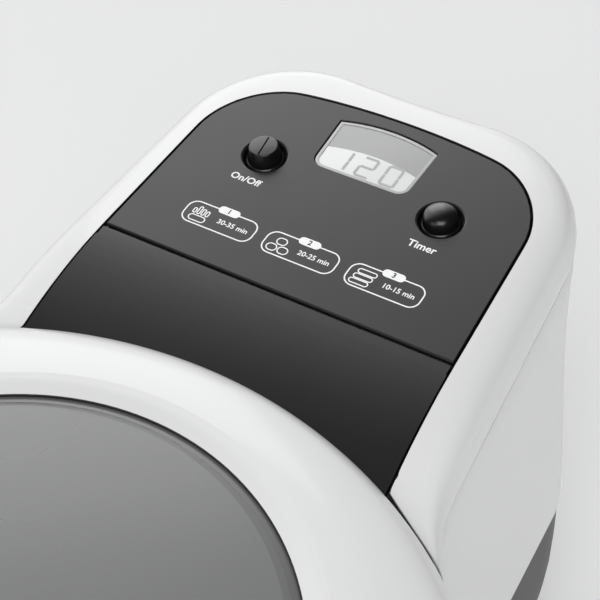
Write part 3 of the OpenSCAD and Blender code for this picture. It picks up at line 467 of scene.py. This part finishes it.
@dataclass
class Shell:
    """A CAD node's own shape, welded, smoothed and given small edge radii, standing for that node.

    Args:
        node: the CAD node.
        body: the body it rides on.
        finish: its finish.
        radius: edge radius in millimetres, or 0.
        levels: subdivision steps for a swept shell, or 0.
        sharp: edges sharper than this many degrees stay sharp.
        reshape: what is done to its welded mesh first, if anything.
    """

    node: str
    body: str
    finish: Finish
    radius: float = 0.0
    levels: int = 0
    sharp: float = 35.0
    reshape: Callable[[bmesh.types.BMesh], None] | None = None

    def build(self, nodes: dict[str, bpy.types.Object]) -> bpy.types.Object:
        """Make the piece.

        Args:
            nodes: the frame's CAD nodes.

        Returns:
            The piece.
        """
        bm = bmesh.new()
        bm.from_mesh(nodes[self.node].data)
        bmesh.ops.remove_doubles(bm, verts=bm.verts, dist=WELD)
        if self.levels:
            limit = math.radians(JOIN_ANGLE)
            bmesh.ops.join_triangles(bm, faces=bm.faces, angle_face_threshold=limit, angle_shape_threshold=limit)
        elif self.radius:
            bmesh.ops.dissolve_limit(bm, angle_limit=math.radians(FLAT_ANGLE), verts=bm.verts, edges=bm.edges)
        if self.reshape:
            self.reshape(bm)
        obj = mesh_object(self.node + "_skin", bm, self.finish, self.sharp)
        if self.levels:
            self.crease(obj.data)
            mod = obj.modifiers.new("smooth_sweep", "SUBSURF")
            mod.levels = mod.render_levels = self.levels
        elif self.radius:
            round_edges(obj, self.radius * MM)
        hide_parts(self.node)
        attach(obj, self.body)
        return obj

    @staticmethod
    def crease(mesh: bpy.types.Mesh) -> None:
        """Keep a swept shell's sharp edges through its subdivision.

        Args:
            mesh: the mesh.
        """
        bm = bmesh.new()
        bm.from_mesh(mesh)
        layer = bm.edges.layers.float.get("crease_edge") or bm.edges.layers.float.new("crease_edge")
        for edge in bm.edges:
            if len(edge.link_faces) == 2 and edge.calc_face_angle(0) > math.radians(CREASE_ANGLE):
                edge[layer] = CREASE
        bm.to_mesh(mesh)
        bm.free()


@dataclass
class HousingLooks:
    """The white and dark shells, the rim and the parts that show on them.

    Args:
        corner_r: corner radius of the control panel.
        side: half the panel's width at the seam, and by how much it narrows for each millimetre behind it.
        rear: the panel's rear edge behind the seam, and the divisor that bows it.
        wall_in: how far outside the panel's outline the painted shade on the wall reaches.
        wall_top: height over the panel below which the wall carries painted shade.
        wall_slope: faces whose normal leans less than this towards the panel's own count as wall.
    """

    corner_r: float = 25.0
    side: Point2 = (67.7, 0.045)
    rear: Point2 = (89.2, 540.0)
    wall_in: float = 1.4
    wall_top: float = 0.4
    wall_slope: float = 0.75

    def build(self, nodes: dict[str, bpy.types.Object]) -> None:
        """Make every housing piece.

        Args:
            nodes: the frame's CAD nodes.
        """
        for shell in (
            Shell("main_housing", "base", WHITE, sharp=30),
            Shell("lower_housing", "base", DARK, sharp=30),
            Shell("inner_deck", "base", CREAM_GREY, radius=0.4),
            Shell("outlet_grille", "base", DARK, radius=0.25),
            Shell("cable_gland", "base", RUBBER, radius=0.5),
            Shell("rubber_feet", "base", RUBBER, radius=0.5),
            Shell("lid_release_right", "release_right", CREAM_GREY, radius=0.8),
            Shell("lid_release_left", "release_left", CREAM_GREY, radius=0.8),
        ):
            shell.build(nodes)
        cover = Shell("rear_cover", "base", WHITE, levels=2).build(nodes)
        # The dark second material is painted shade for the gap round the control panel.
        cover.data.materials.append(DARK.build())
        self.paint_gap_shade(cover.data)

    def paint_gap_shade(self, mesh: bpy.types.Mesh) -> None:
        """Paint shade on the walls of the panel's opening, below the white edge: their dark finish stands for the
        shadow in the gap round the panel.

        Args:
            mesh: the rear cover's mesh, whose second material is dark, used as the painted shade.
        """
        to_panel = ON_PANEL.inverted()
        turn = to_panel.to_3x3()
        for face in mesh.polygons:
            at, normal = to_panel @ face.center / MM, turn @ face.normal
            beside = 0.0 < self.panel_edge(at.x, at.y) < self.wall_in
            if beside and abs(normal.z) < self.wall_slope and at.z < self.wall_top:
                face.material_index = 1

    def panel_edge(self, u: float, v: float) -> float:
        """How far a point lies outside the control panel's outline.

        Args:
            u: its place across the panel, in millimetres.
            v: its place behind the seam.

        Returns:
            The distance, negative inside.
        """
        half_w, taper = self.side
        rear, bow = self.rear
        a = abs(u) - (half_w - taper * v) + self.corner_r
        b = v - rear + u * u / bow + self.corner_r
        return math.hypot(max(a, 0.0), max(b, 0.0)) + min(max(a, b), 0.0) - self.corner_r


@dataclass
class LidLooks:
    """The white ring, its bezel, the smoky window and the dark hinge panel.

    Args:
        window_r: radius of the window.
        dome_r: radius at which the dome's rise is measured.
        window_low: height of the window's underside at its rim.
        rise: rise of the dome.
        glass: thickness of the glass.
        steps: steps from the axis to the rim.
        edge_r: radii between which the glass steps down to its edge zone.
        edge_drop: how far the edge zone lies lower.
        edge_low: height over the window's foot above which the edge zone is dark.
        rim_in: width of the window's rim.
        reach: how far the hinge panel is carried to the ring.
        skirt: half the ring's width and depth at its skirt.
        skirt_zone: vertices up to this far behind the skirt are carried.
        curve: the axis of the hinge panel's curve, as y and z.
        curve_r: radii of its outer and inner face.
        curve_from: y of the first cut across the curve.
        curve_step: distance between two cuts.
        curve_cuts: number of cuts.
        curve_snap: how near to a radius a vertex is put exactly on it.
    """

    window_r: float = 96.9
    dome_r: float = 97.0
    window_low: float = 1.6
    rise: float = 12.0
    glass: float = 3.0
    steps: int = 20
    edge_r: Point2 = (92.4, 90.0)
    edge_drop: float = 0.7
    edge_low: float = 1.0
    rim_in: float = 4.0
    reach: float = 3.4
    skirt: Point2 = (150.6, 129.6)
    skirt_zone: float = 0.3
    curve: Point2 = (123.053, 54.921)
    curve_r: Point2 = (156.0, 153.5)
    curve_from: float = 56.0
    curve_step: float = 2.0
    curve_cuts: int = 22
    curve_snap: float = 0.09

    def build(self, nodes: dict[str, bpy.types.Object]) -> None:
        """Make every lid piece.

        Args:
            nodes: the frame's CAD nodes.
        """
        for shell in (
            Shell("lid_frame", "lid", WHITE, levels=2),
            Shell("hinge_panel", "lid", PANEL, radius=0.3, sharp=40, reshape=self.meet_ring),
            Shell("hinge_arms", "lid", STEEL, radius=0.3),
            Shell("lid_catches", "lid", DARK, radius=0.4),
        ):
            shell.build(nodes)
        self.bezel()
        self.window()

    def meet_ring(self, bm: bmesh.types.BMesh) -> None:
        """Cut the hinge panel's curve finer, then carry its front edge along it to the white ring.

        Args:
            bm: the hinge panel's welded mesh.
        """
        half_w, half_d = self.skirt
        centre_y, centre_z = self.curve
        for k in range(self.curve_cuts):
            geom = [*bm.verts, *bm.edges, *bm.faces]
            cut = Vector((0.0, (self.curve_from + self.curve_step * k) * MM, 0.0))
            bmesh.ops.bisect_plane(bm, geom=geom, dist=1e-7, plane_co=cut, plane_no=(0, 1, 0))
        for vert in bm.verts:
            across, up = vert.co.y / MM - centre_y, vert.co.z / MM - centre_z
            for radius in self.curve_r:
                if abs(math.hypot(across, up) - radius) < self.curve_snap:
                    vert.co.z = (centre_z + math.sqrt(radius**2 - across**2)) * MM
        for vert in bm.verts:
            x, y = vert.co.x / MM, vert.co.y / MM - LID_CENTRE.y / MM
            edge = half_d * math.sqrt(max(1 - (x / half_w) ** 2, 0))
            if y < edge + self.skirt_zone:
                across = vert.co.y / MM - centre_y
                radius = math.hypot(across, vert.co.z / MM - centre_z)
                vert.co.y -= self.reach * MM
                vert.co.z = (centre_z + math.sqrt(radius**2 - (across - self.reach) ** 2)) * MM

    def bezel(self) -> None:
        """Make the bezel inside the ring, with a soft crest and a lip over the glass, and the gasket's dark lip."""
        crest, lip, steps = (100.9, 6.85), (96.0, 5.45), 8
        soft = []
        for k in range(steps + 1):
            t = k / steps
            soft.append((crest[0] + (lip[0] - crest[0]) * t, crest[1] + (lip[1] - crest[1]) * t * t * (2 - t)))
        profile = [(103.15, 6.94), (102.6, 6.9), *soft, (95.45, 5.3), (95.45, 5.1), (97.4, 5.05), (97.4, 0.6),
                   (94.0, 0.6), (94.0, -1.2), (107.0, -1.2), (107.0, 3.9), (103.15, 4.25)]
        piece = spin_profile("bezel_ring", profile, ON_LID, WHITE, steps=160, smooth=40)
        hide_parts("window_bezel")
        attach(piece, "lid")
        lip_ring = [(94.95, 4.6), (95.4, 4.6), (95.4, 5.32), (94.95, 5.32)]
        dark = spin_profile("gasket_lip", lip_ring, ON_LID, RUBBER, steps=160)
        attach(dark, "lid")

    def window(self) -> None:
        """Make the domed window as one smooth turned piece with a lower, darker edge zone."""
        outer_r = (self.dome_r**2 + self.rise**2) / (2 * self.rise)
        top = self.window_low + self.glass + self.rise

        def height(r: float, crown: float) -> float:
            """Height of a dome with this crown, at a radius."""
            return crown - outer_r + math.sqrt(outer_r * outer_r - r * r)

        outside = [(r, height(r, top)) for r in self.radii(self.edge_r[1])]
        outside += [(r, height(r, top) - self.edge_drop) for r in (self.edge_r[0], 94.0, self.window_r - 0.8)]
        inner_r = self.window_r - self.rim_in
        inside = [(r, height(r, top - self.glass)) for r in reversed(self.radii(inner_r))]
        rim = [(self.window_r, height(self.window_r, top) - 1.2), (self.window_r, self.window_low),
               (inner_r, self.window_low)]
        piece = spin_profile("window_glass", [*outside, *rim, *inside], ON_LID, SMOKE, steps=160, smooth=8)
        piece.data.materials.append(SMOKE_EDGE.build())
        to_lid = ON_LID.inverted()
        for face in piece.data.polygons:
            at = to_lid @ face.center
            if math.hypot(at.x, at.y) > self.edge_r[0] * MM and at.z > (self.window_low + self.edge_low) * MM:
                face.material_index = 1
        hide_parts("lid_window")
        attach(piece, "lid")

    def radii(self, last: float) -> list[float]:
        """Even radii from the axis to the rim.

        Args:
            last: the largest radius.

        Returns:
            The radii in millimetres.
        """
        return [last * k / self.steps for k in range(self.steps + 1)]


class Pictogram(Enum):
    """The plain food pictograms of the labels."""

    STICKS = "sticks"
    ROUNDS = "rounds"
    SLICES = "slices"


@dataclass(frozen=True)
class Programme:
    """One food programme on the panel: its place, tag and time.

    Args:
        u: centre across the panel.
        tag: the programme's number on the tag.
        time: the time on the label.
        picture: which plain pictogram it shows.
    """

    u: float
    tag: str
    time: str
    picture: Pictogram


@dataclass
class PanelLooks:
    """The control panel with its display and its print. Places are in millimetres on the panel, from the seam.

    Args:
        print_z: height of the print over the panel.
        print_t: its thickness.
        label_v: how far behind the seam the labels stand.
        label_half: half a label's width and height.
        label_r: its corner radius.
        stroke: width of its outline.
        tag_half: half a tag's width and height.
        tag_r: its corner radius.
        tag_size: size of its number.
        time_size: size of the time.
        time_shift: where the time's centre is from its label's.
        tag_shift: where a tag's centre is from the middle of its label's top.
        picture_stroke: width of a pictogram's lines.
        lens_half: half the display's width at its foot and its head.
        lens_v: the display's lower edge and the ends of its arch.
        lens_arch: radius of the arch.
        lens_r: radius of the lower corners.
        display_z: height of the display's face under the panel's.
        shade_h: depth of the field with the painted shadow.
        digit_at: centre of the first figure.
        digit_step: distance between two figures.
        seam_r: radius of the edge along the seam.
        seam_zone: edges nearer to the seam than this are rounded.
        names: the two buttons' names with their sizes and places.
        programmes: the three food programmes.
    """

    print_z: float = 0.01
    print_t: float = 0.05
    label_v: float = 19.0
    label_half: Point2 = (14.2, 5.17)
    label_r: float = 3.75
    stroke: float = 0.5
    tag_half: Point2 = (4.2, 1.65)
    tag_r: float = 1.6
    tag_shift: Point2 = (0.9, -0.1)
    tag_size: float = 2.9
    time_size: float = 3.0
    time_shift: Point2 = (5.4, -0.3)
    picture_stroke: float = 0.42
    lens_half: Point2 = (19.0, 19.7)
    lens_v: Point2 = (57.6, 81.0)
    lens_arch: float = 64.0
    lens_r: float = 4.5
    display_z: float = -0.79
    shade_h: float = 12.0
    digit_at: Point2 = (-10.0, 64.6)
    digit_step: float = 10.0
    seam_r: float = 0.75
    seam_zone: float = 2.0
    names: tuple[tuple[str, float, Point2], ...] = (("On/Off", 4.1, (-35.1, 40.2)), ("Timer", 4.3, (35.5, 39.6)))
    programmes: tuple[Programme, ...] = (
        Programme(-32.5, "1", "30-35 min", Pictogram.STICKS),
        Programme(0.0, "2", "20-25 min", Pictogram.ROUNDS),
        Programme(32.5, "3", "10-15 min", Pictogram.SLICES),
    )

    def build(self, nodes: dict[str, bpy.types.Object]) -> None:
        """Make every panel piece.

        Args:
            nodes: the frame's CAD nodes.
        """
        for shell in (
            Shell("control_panel", "base", PANEL, radius=0.3, sharp=25, reshape=self.round_seam),
            Shell("display_lens", "base", LENS, radius=0.25),
        ):
            shell.build(nodes)
        self.labels()
        self.button_names()
        self.display()

    def round_seam(self, bm: bmesh.types.BMesh) -> None:
        """Round the panel's upper edge along the seam.

        Args:
            bm: the panel's welded mesh.
        """
        to_panel = ON_PANEL.inverted()
        edges = []
        for edge in bm.edges:
            ends = [to_panel @ vert.co for vert in edge.verts]
            if all(abs(end.z) < 0.01 * MM and end.y < self.seam_zone * MM for end in ends):
                edges.append(edge)
        bmesh.ops.bevel(bm, geom=edges, offset=self.seam_r * MM, segments=5, profile=0.5, affect="EDGES", material=-1)

    def place(self, name: str, bm: bmesh.types.BMesh, finish: Finish) -> bpy.types.Object:
        """Set flat print on the panel.

        Args:
            name: the piece's name.
            bm: the print in the panel's frame.
            finish: its finish.

        Returns:
            The piece.
        """
        bm.transform(ON_PANEL)
        obj = mesh_object(name, bm, finish)
        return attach(obj, "base")

    def labels(self) -> None:
        """Make the three outlined labels with their tags, times and plain pictograms."""
        ink, dark = bmesh.new(), bmesh.new()
        w, h = self.label_half
        for programme in self.programmes:
            at = (programme.u, self.label_v)
            outer = rounded_outline(w, h, self.label_r)
            inner = rounded_outline(w - self.stroke, h - self.stroke, self.label_r - self.stroke)
            add_ring(ink, outer, inner, at, self.print_z, self.print_t)
            tag_at = (programme.u + self.tag_shift[0], self.label_v + h + self.tag_shift[1])
            add_plate(ink, rounded_outline(*self.tag_half, self.tag_r), tag_at, self.print_z + 0.01, self.print_t)
            time_at = (programme.u + self.time_shift[0], self.label_v + self.time_shift[1])
            add_text(dark, programme.tag, self.tag_size, tag_at, self.print_z + self.print_t + 0.02, 0.03, weight=0.08)
            add_text(ink, programme.time, self.time_size, time_at, self.print_z, self.print_t, weight=0.05)
            self.picture(ink, programme)
        self.place("label_print", ink, INK)
        self.place("label_tag_print", dark, DARK_INK)

    def picture(self, bm: bmesh.types.BMesh, programme: Programme) -> None:
        """Add a plain food pictogram at a label's left.

        Args:
            bm: the mesh that gets it.
            programme: the label's programme.
        """
        u, v, line = programme.u - 8.0, self.label_v - 0.3, self.picture_stroke

        def loop(half_w: float, half_h: float, at: Point2) -> None:
            """Add one outlined loop at a place in the pictogram."""
            r = min(half_w, half_h) - 0.02
            outer = rounded_outline(half_w, half_h, r)
            inner = rounded_outline(half_w - line, half_h - line, r - line)
            add_ring(bm, outer, inner, (u + at[0], v + at[1]), self.print_z, self.print_t)

        if programme.picture is Pictogram.STICKS:
            loop(3.4, 1.45, (0.0, -2.15))
            for k, tall in enumerate((2.6, 3.9, 3.2, 2.8)):
                loop(0.72, tall / 2, (-2.55 + 1.7 * k, -0.35 + tall / 2))
            return
        if programme.picture is Pictogram.ROUNDS:
            for at in ((-2.2, -1.8), (2.2, -1.8), (0.0, 1.7)):
                loop(2.1, 1.7, at)
            return
        for k in range(3):
            loop(3.7, 1.15, (0.5 * (k - 1), 2.4 * (k - 1)))

    def button_names(self) -> None:
        """Make the names of the two buttons."""
        ink = bmesh.new()
        for words, size, at in self.names:
            add_text(ink, words, size, at, self.print_z, self.print_t, weight=0.08)
        self.place("name_print", ink, INK)

    def lens_outline(self, inset: float) -> list[Point2]:
        """The display window's outline: a rounded foot and an arched head.

        Args:
            inset: how far inside the opening, in millimetres.

        Returns:
            The outline, anticlockwise from the lower left.
        """
        (foot_w, head_w), (low, high), arch, r = self.lens_half, self.lens_v, self.lens_arch, self.lens_r
        points = []
        for side, start in ((-1, 180), (1, 270)):
            for k in range(7):
                a = math.radians(start + 15 * k)
                points.append((side * (foot_w - r) + (r - inset) * math.cos(a), low + r + (r - inset) * math.sin(a)))
        sag = arch - math.sqrt(arch**2 - head_w**2)
        for k in range(13):
            x = (head_w - inset) * (1 - k / 6)
            points.append((x, high - inset + math.sqrt(arch**2 - x * x) - arch + sag))
        return points

    def display(self) -> None:
        """Make the display's rim and its thin line, the painted shadow of the panel's edge on the upper field and grey
        seven-stroke figures.
        """
        rim, line, field, figures = bmesh.new(), bmesh.new(), bmesh.new(), bmesh.new()
        z = self.display_z
        add_ring(rim, self.lens_outline(0.2), self.lens_outline(1.3), (0.0, 0.0), z, 0.3)
        add_ring(line, self.lens_outline(1.3), self.lens_outline(1.5), (0.0, 0.0), z, 0.05)
        head = [p for p in self.lens_outline(1.55) if p[1] > self.lens_v[1] - 2.0]
        foot = [(x, y - self.shade_h) for x, y in reversed(head)]
        # Painted shadow: a grey field across the display's head stands for the shadow that the panel's edge casts on
        # the recessed display.
        add_plate(field, head + foot, (0.0, 0.0), z, 0.02)
        for k, lit in enumerate(("bc", "abged", "abcdef")):
            self.figure(figures, lit, (self.digit_at[0] + self.digit_step * k, self.digit_at[1]), z)
        self.place("display_rim", rim, LENS_RIM)
        self.place("display_line", line, SHADE)
        self.place("display_shadow_field", field, SHADE)
        self.place("display_figures", figures, DIGIT)

    def figure(self, bm: bmesh.types.BMesh, lit: str, at: Point2, z: float) -> None:
        """Add one seven-stroke figure.

        Args:
            bm: the mesh that gets it.
            lit: the strokes that show.
            at: its centre.
            z: height of its underside.
        """
        w, h, t = 2.7, 2.3, 0.7
        strokes = {
            "a": (0, 2 * h, w, t), "g": (0, 0, w, t), "d": (0, -2 * h, w, t),
            "b": (w, h, t, h), "c": (w, -h, t, h), "e": (-w, -h, t, h), "f": (-w, h, t, h),
        }
        for name in lit:
            x, y, half_w, half_h = strokes[name]
            add_plate(bm, rounded_outline(half_w - 0.15, half_h - 0.15, 0.3, 2), (at[0] + x, at[1] + y), z, 0.03)


@dataclass
class ButtonLooks:
    """The two press buttons: a round skirt with a waist under a flat head, or under a dome.

    Args:
        at: the buttons' distance from the middle of the panel and from the seam.
        skirt_r: radius of the skirt.
        flange_r: radius of the flange.
        flange_z: heights of the flange's faces.
        foot: radius and height of the foot.
        skirt_top: height at which the skirt ends.
        waist: radius and height of the waist.
        top: height of the head.
        flat_r: radius of the flat face.
        flat_edge: radius of its rounded edge.
        dome_r: radius of the dome.
        dome_z: height at which the dome starts.
        line_half: half the length and width of the flat head's line.
        line_angle: its direction, in degrees.
    """

    at: Point2 = (35.3, 53.4)
    skirt_r: float = 7.55
    flange_r: float = 9.4
    flange_z: Point2 = (-4.3, -3.32)
    foot: Point2 = (3.0, -4.6)
    skirt_top: float = -2.7
    waist: Point2 = (6.35, -1.0)
    top: float = 4.75
    flat_r: float = 4.75
    flat_edge: float = 0.55
    dome_r: float = 5.9
    dome_z: float = 1.9
    line_half: Point2 = (4.7, 0.3)
    line_angle: float = 97.0

    def build(self, nodes: dict[str, bpy.types.Object]) -> None:
        """Make both buttons.

        Args:
            nodes: the frame's CAD nodes.
        """
        flat = spin_profile("on_off_cap", self.profile(self.flat_top()), self.place(-1), BLACK_GLOSS, smooth=50)
        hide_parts("on_off_button")
        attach(flat, "on_off")
        dome = spin_profile("timer_cap", self.profile(self.dome_top()), self.place(1), BLACK_GLOSS, smooth=50)
        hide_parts("timer_button")
        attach(dome, "timer")
        # The slot on the flat head is drawn as a near-black matt plate: painted shade for its inside.
        line = bmesh.new()
        add_plate(line, rounded_outline(*self.line_half, 0.28, 3), (0.0, 0.0), self.top - 0.01, 0.02)
        line.transform(self.place(-1) @ Matrix.Rotation(math.radians(self.line_angle), 4, "Z"))
        piece = mesh_object("on_off_slot_shade", line, SLOT_SHADE)
        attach(piece, "on_off")

    def place(self, side: int) -> Matrix:
        """The frame of one button.

        Args:
            side: -1 for the left one, 1 for the right one.

        Returns:
            Its place.
        """
        return ON_PANEL @ Matrix.Translation((side * self.at[0] * MM, self.at[1] * MM, 0))

    def profile(self, head: list[Point2]) -> list[Point2]:
        """A button's closed outline: foot, flange, skirt and waist, then its head.

        Args:
            head: the outline of its head, from the side to the axis.

        Returns:
            The outline.
        """
        low, high = self.flange_z
        foot_r, foot_z = self.foot
        outline = [(0.0, foot_z), (foot_r, foot_z), (foot_r, low), (self.flange_r, low), (self.flange_r, high),
                   (self.skirt_r, high), (self.skirt_r, self.skirt_top - 0.2)]
        outline += [(self.skirt_r - 0.3, self.skirt_top + 0.2), (self.waist[0] + 0.5, self.waist[1] - 0.25), self.waist]
        return outline + head

    def flat_top(self) -> list[Point2]:
        """The outline of the flat head.

        Returns:
            Points from the side to the axis.
        """
        r, edge = self.flat_r, self.flat_edge
        arc = [math.radians(90 * k / 6) for k in range(7)]
        return [(r + edge * math.cos(a), self.top - edge + edge * math.sin(a)) for a in arc] + [(0.0, self.top)]

    def dome_top(self) -> list[Point2]:
        """The outline of the domed head.

        Returns:
            Points from the side to the axis.
        """
        arc = [math.radians(90 * k / 12) for k in range(13)]
        rise = self.top - self.dome_z
        return [(self.dome_r * math.cos(a), self.dome_z + rise * math.sin(a)) for a in arc]


@dataclass
class CookingLooks:
    """The pan, its well, the paddle and the folding handle."""

    def build(self, nodes: dict[str, bpy.types.Object]) -> None:
        """Make every cooking piece.

        Args:
            nodes: the frame's CAD nodes.
        """
        for shell in (
            Shell("pan", "base", COATED, radius=0.4),
            Shell("pan_well", "base", ALUMINIUM, radius=0.3),
            Shell("paddle", "stirrer", BLACK, radius=0.6),
            Shell("pan_bracket", "base", STEEL, radius=0.3),
            Shell("pan_handle", "handle", DARK, radius=1.2),
            Shell("handle_release", "handle_latch", CREAM_GREY, radius=0.25),
        ):
            shell.build(nodes)


@dataclass
class InnerLooks:
    """The parts inside, which keep their CAD shape and get their finishes.

    Args:
        finishes: each node's name and its finish.
    """

    finishes: tuple[tuple[str, Finish], ...] = (
        ("base_tray", DARK), ("display_module", BLACK), ("control_board", BOARD), ("tact_switches", BLACK),
        ("hinge_pin", DARK_STEEL), ("hinge_brackets", DARK_STEEL), ("lid_seal", RUBBER), ("window_gasket", RUBBER),
        ("handle_pin", STEEL), ("gear_motor", MOTOR), ("shaft_bushing", BRASS), ("drive_shaft", STEEL),
        ("fan_motor", MOTOR), ("fan_impeller", ALUMINIUM), ("air_duct", DUCT), ("heater_element", HEATER),
        ("thermal_cutout", BRASS), ("power_board", BOARD), ("power_components", BLACK), ("wiring_harness", WIRE),
        ("base_screws", STEEL), ("deck_screws", STEEL),
    )

    def build(self, nodes: dict[str, bpy.types.Object]) -> None:
        """Give each node its finish.

        Args:
            nodes: the frame's CAD nodes.
        """
        for name, finish in self.finishes:
            mesh = nodes[name].data
            mesh.materials.clear()
            mesh.materials.append(finish.build())


# ---------------------------------------------------------------- studio


@dataclass(frozen=True)
class Softbox:
    """One soft light.

    Args:
        name: its name.
        at: where it stands, in metres.
        size: its width and height.
        power: its power in watts.
    """

    name: str
    at: tuple[float, float, float]
    size: tuple[float, float]
    power: float

    def build(self, target: Vector) -> None:
        """Make the light, turned to the target.

        Args:
            target: what it points at.
        """
        data = bpy.data.lights.new(self.name, "AREA")
        data.shape = "RECTANGLE"
        data.size, data.size_y = self.size
        data.energy = self.power
        obj = bpy.data.objects.new(self.name, data)
        obj.location = self.at
        obj.rotation_euler = (target - Vector(self.at)).to_track_quat("-Z", "Y").to_euler()
        bpy.context.scene.collection.objects.link(obj)


@dataclass
class Studio:
    """The pale floor, the white surround, the soft lights and the camera.

    Args:
        lens: focal length in millimetres on a sensor 36 mm wide.
        camera_at: the camera's place from the middle of the seam, in metres.
        right: the camera's right.
        up: the camera's up.
        forward: the way it looks.
        bright_side: the side on which the reflected surround is brightest.
        sweep_from: how far towards that side the sweep starts and ends.
        sweep_to: the surround's strength before and after the sweep.
        world_light: strength of the even light on matt surfaces.
        lights: the soft lights.
    """

    lens: float = 102.0
    camera_at: tuple[float, float, float] = (0.2272, -0.357, 0.373)
    right: tuple[float, float, float] = (0.85566, 0.51754, 0.0)
    up: tuple[float, float, float] = (-0.34444, 0.56944, 0.74639)
    forward: tuple[float, float, float] = (-0.38627, 0.63867, -0.66551)
    bright_side: tuple[float, float, float] = (-0.8, 0.55, 0.25)
    sweep_from: Point2 = (0.42, 0.9)
    sweep_to: Point2 = (0.03, 2.0)
    world_light: float = 0.32
    lights: tuple[Softbox, ...] = (
        Softbox("key_left", (-1.0, 1.3, 1.25), (1.2, 1.2), 7.5),
        Softbox("top_fill", (0.55, -1.0, 1.6), (1.2, 1.2), 17.0),
        Softbox("front_fill", (-0.5, -1.5, 1.0), (1.0, 1.0), 4.0),
    )

    def build(self) -> None:
        """Make the whole studio."""
        self.floor()
        self.surround()
        for light in self.lights:
            light.build(SEAM)
        self.camera()

    def floor(self) -> None:
        """Make the pale floor."""
        bm = bmesh.new()
        bmesh.ops.create_grid(bm, x_segments=2, y_segments=2, size=6.0)
        floor = mesh_object("floor", bm, FLOOR)

    def surround(self) -> None:
        """Make the surround: white to the camera, a sweep to reflections, an even light to matt surfaces."""
        world = bpy.data.worlds.new("studio_world")
        world.use_nodes = True
        bpy.context.scene.world = world
        nodes, links = world.node_tree.nodes, world.node_tree.links
        light, seen = nodes["Background"], nodes.new("ShaderNodeBackground")
        coords, toward = nodes.new("ShaderNodeTexCoord"), nodes.new("ShaderNodeVectorMath")
        toward.operation = "DOT_PRODUCT"
        toward.inputs[1].default_value = Vector(self.bright_side).normalized()
        sweep = nodes.new("ShaderNodeMapRange")
        sweep.interpolation_type = "SMOOTHSTEP"
        for name, value in zip(("From Min", "From Max", "To Min", "To Max"), (*self.sweep_from, *self.sweep_to)):
            sweep.inputs[name].default_value = value
        links.new(coords.outputs["Generated"], toward.inputs[0])
        links.new(toward.outputs["Value"], sweep.inputs["Value"])
        path, plain, mirrored = (nodes.new(f"ShaderNode{kind}") for kind in ("LightPath", "Mix", "Math"))
        plain.inputs["B"].default_value = 1.0
        links.new(path.outputs["Is Camera Ray"], plain.inputs["Factor"])
        links.new(sweep.outputs["Result"], plain.inputs["A"])
        links.new(plain.outputs["Result"], seen.inputs["Strength"])
        mirrored.operation = "MAXIMUM"
        links.new(path.outputs["Is Glossy Ray"], mirrored.inputs[0])
        links.new(path.outputs["Is Transmission Ray"], mirrored.inputs[1])
        shown, mix = nodes.new("ShaderNodeMath"), nodes.new("ShaderNodeMixShader")
        shown.operation = "MAXIMUM"
        links.new(path.outputs["Is Camera Ray"], shown.inputs[0])
        links.new(mirrored.outputs["Value"], shown.inputs[1])
        light.inputs["Color"].default_value = (0.97, 0.98, 1.0, 1.0)
        light.inputs["Strength"].default_value = self.world_light
        seen.inputs["Color"].default_value = (1.0, 1.0, 1.0, 1.0)
        links.new(shown.outputs["Value"], mix.inputs["Fac"])
        links.new(light.outputs["Background"], mix.inputs[1])
        links.new(seen.outputs["Background"], mix.inputs[2])
        links.new(mix.outputs["Shader"], nodes["World Output"].inputs["Surface"])
        bpy.context.scene.view_settings.view_transform = "Standard"

    def camera(self) -> None:
        """Make the camera, which looks over the lid at the control panel."""
        data = bpy.data.cameras.new("camera")
        data.lens = self.lens
        data.sensor_width = 36.0
        camera = bpy.data.objects.new("camera", data)
        axes = Matrix((self.right, self.up, tuple(-c for c in self.forward))).transposed()
        camera.matrix_world = Matrix.Translation(SEAM + Vector(self.camera_at)) @ axes.to_4x4()
        bpy.context.scene.collection.objects.link(camera)
        bpy.context.scene.camera = camera


def main() -> None:
    """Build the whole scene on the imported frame."""
    logging.basicConfig(level=logging.INFO)
    for obj in list(bpy.data.objects):
        bpy.data.objects.remove(obj)
    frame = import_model()
    nodes = frame["nodes"]
    for looks in (HousingLooks(), LidLooks(), PanelLooks(), ButtonLooks(), CookingLooks(), InnerLooks()):
        LOG.info("building %s", type(looks).__name__)
        looks.build(nodes)
    Studio().build()


if __name__ == "__main__":
    main()
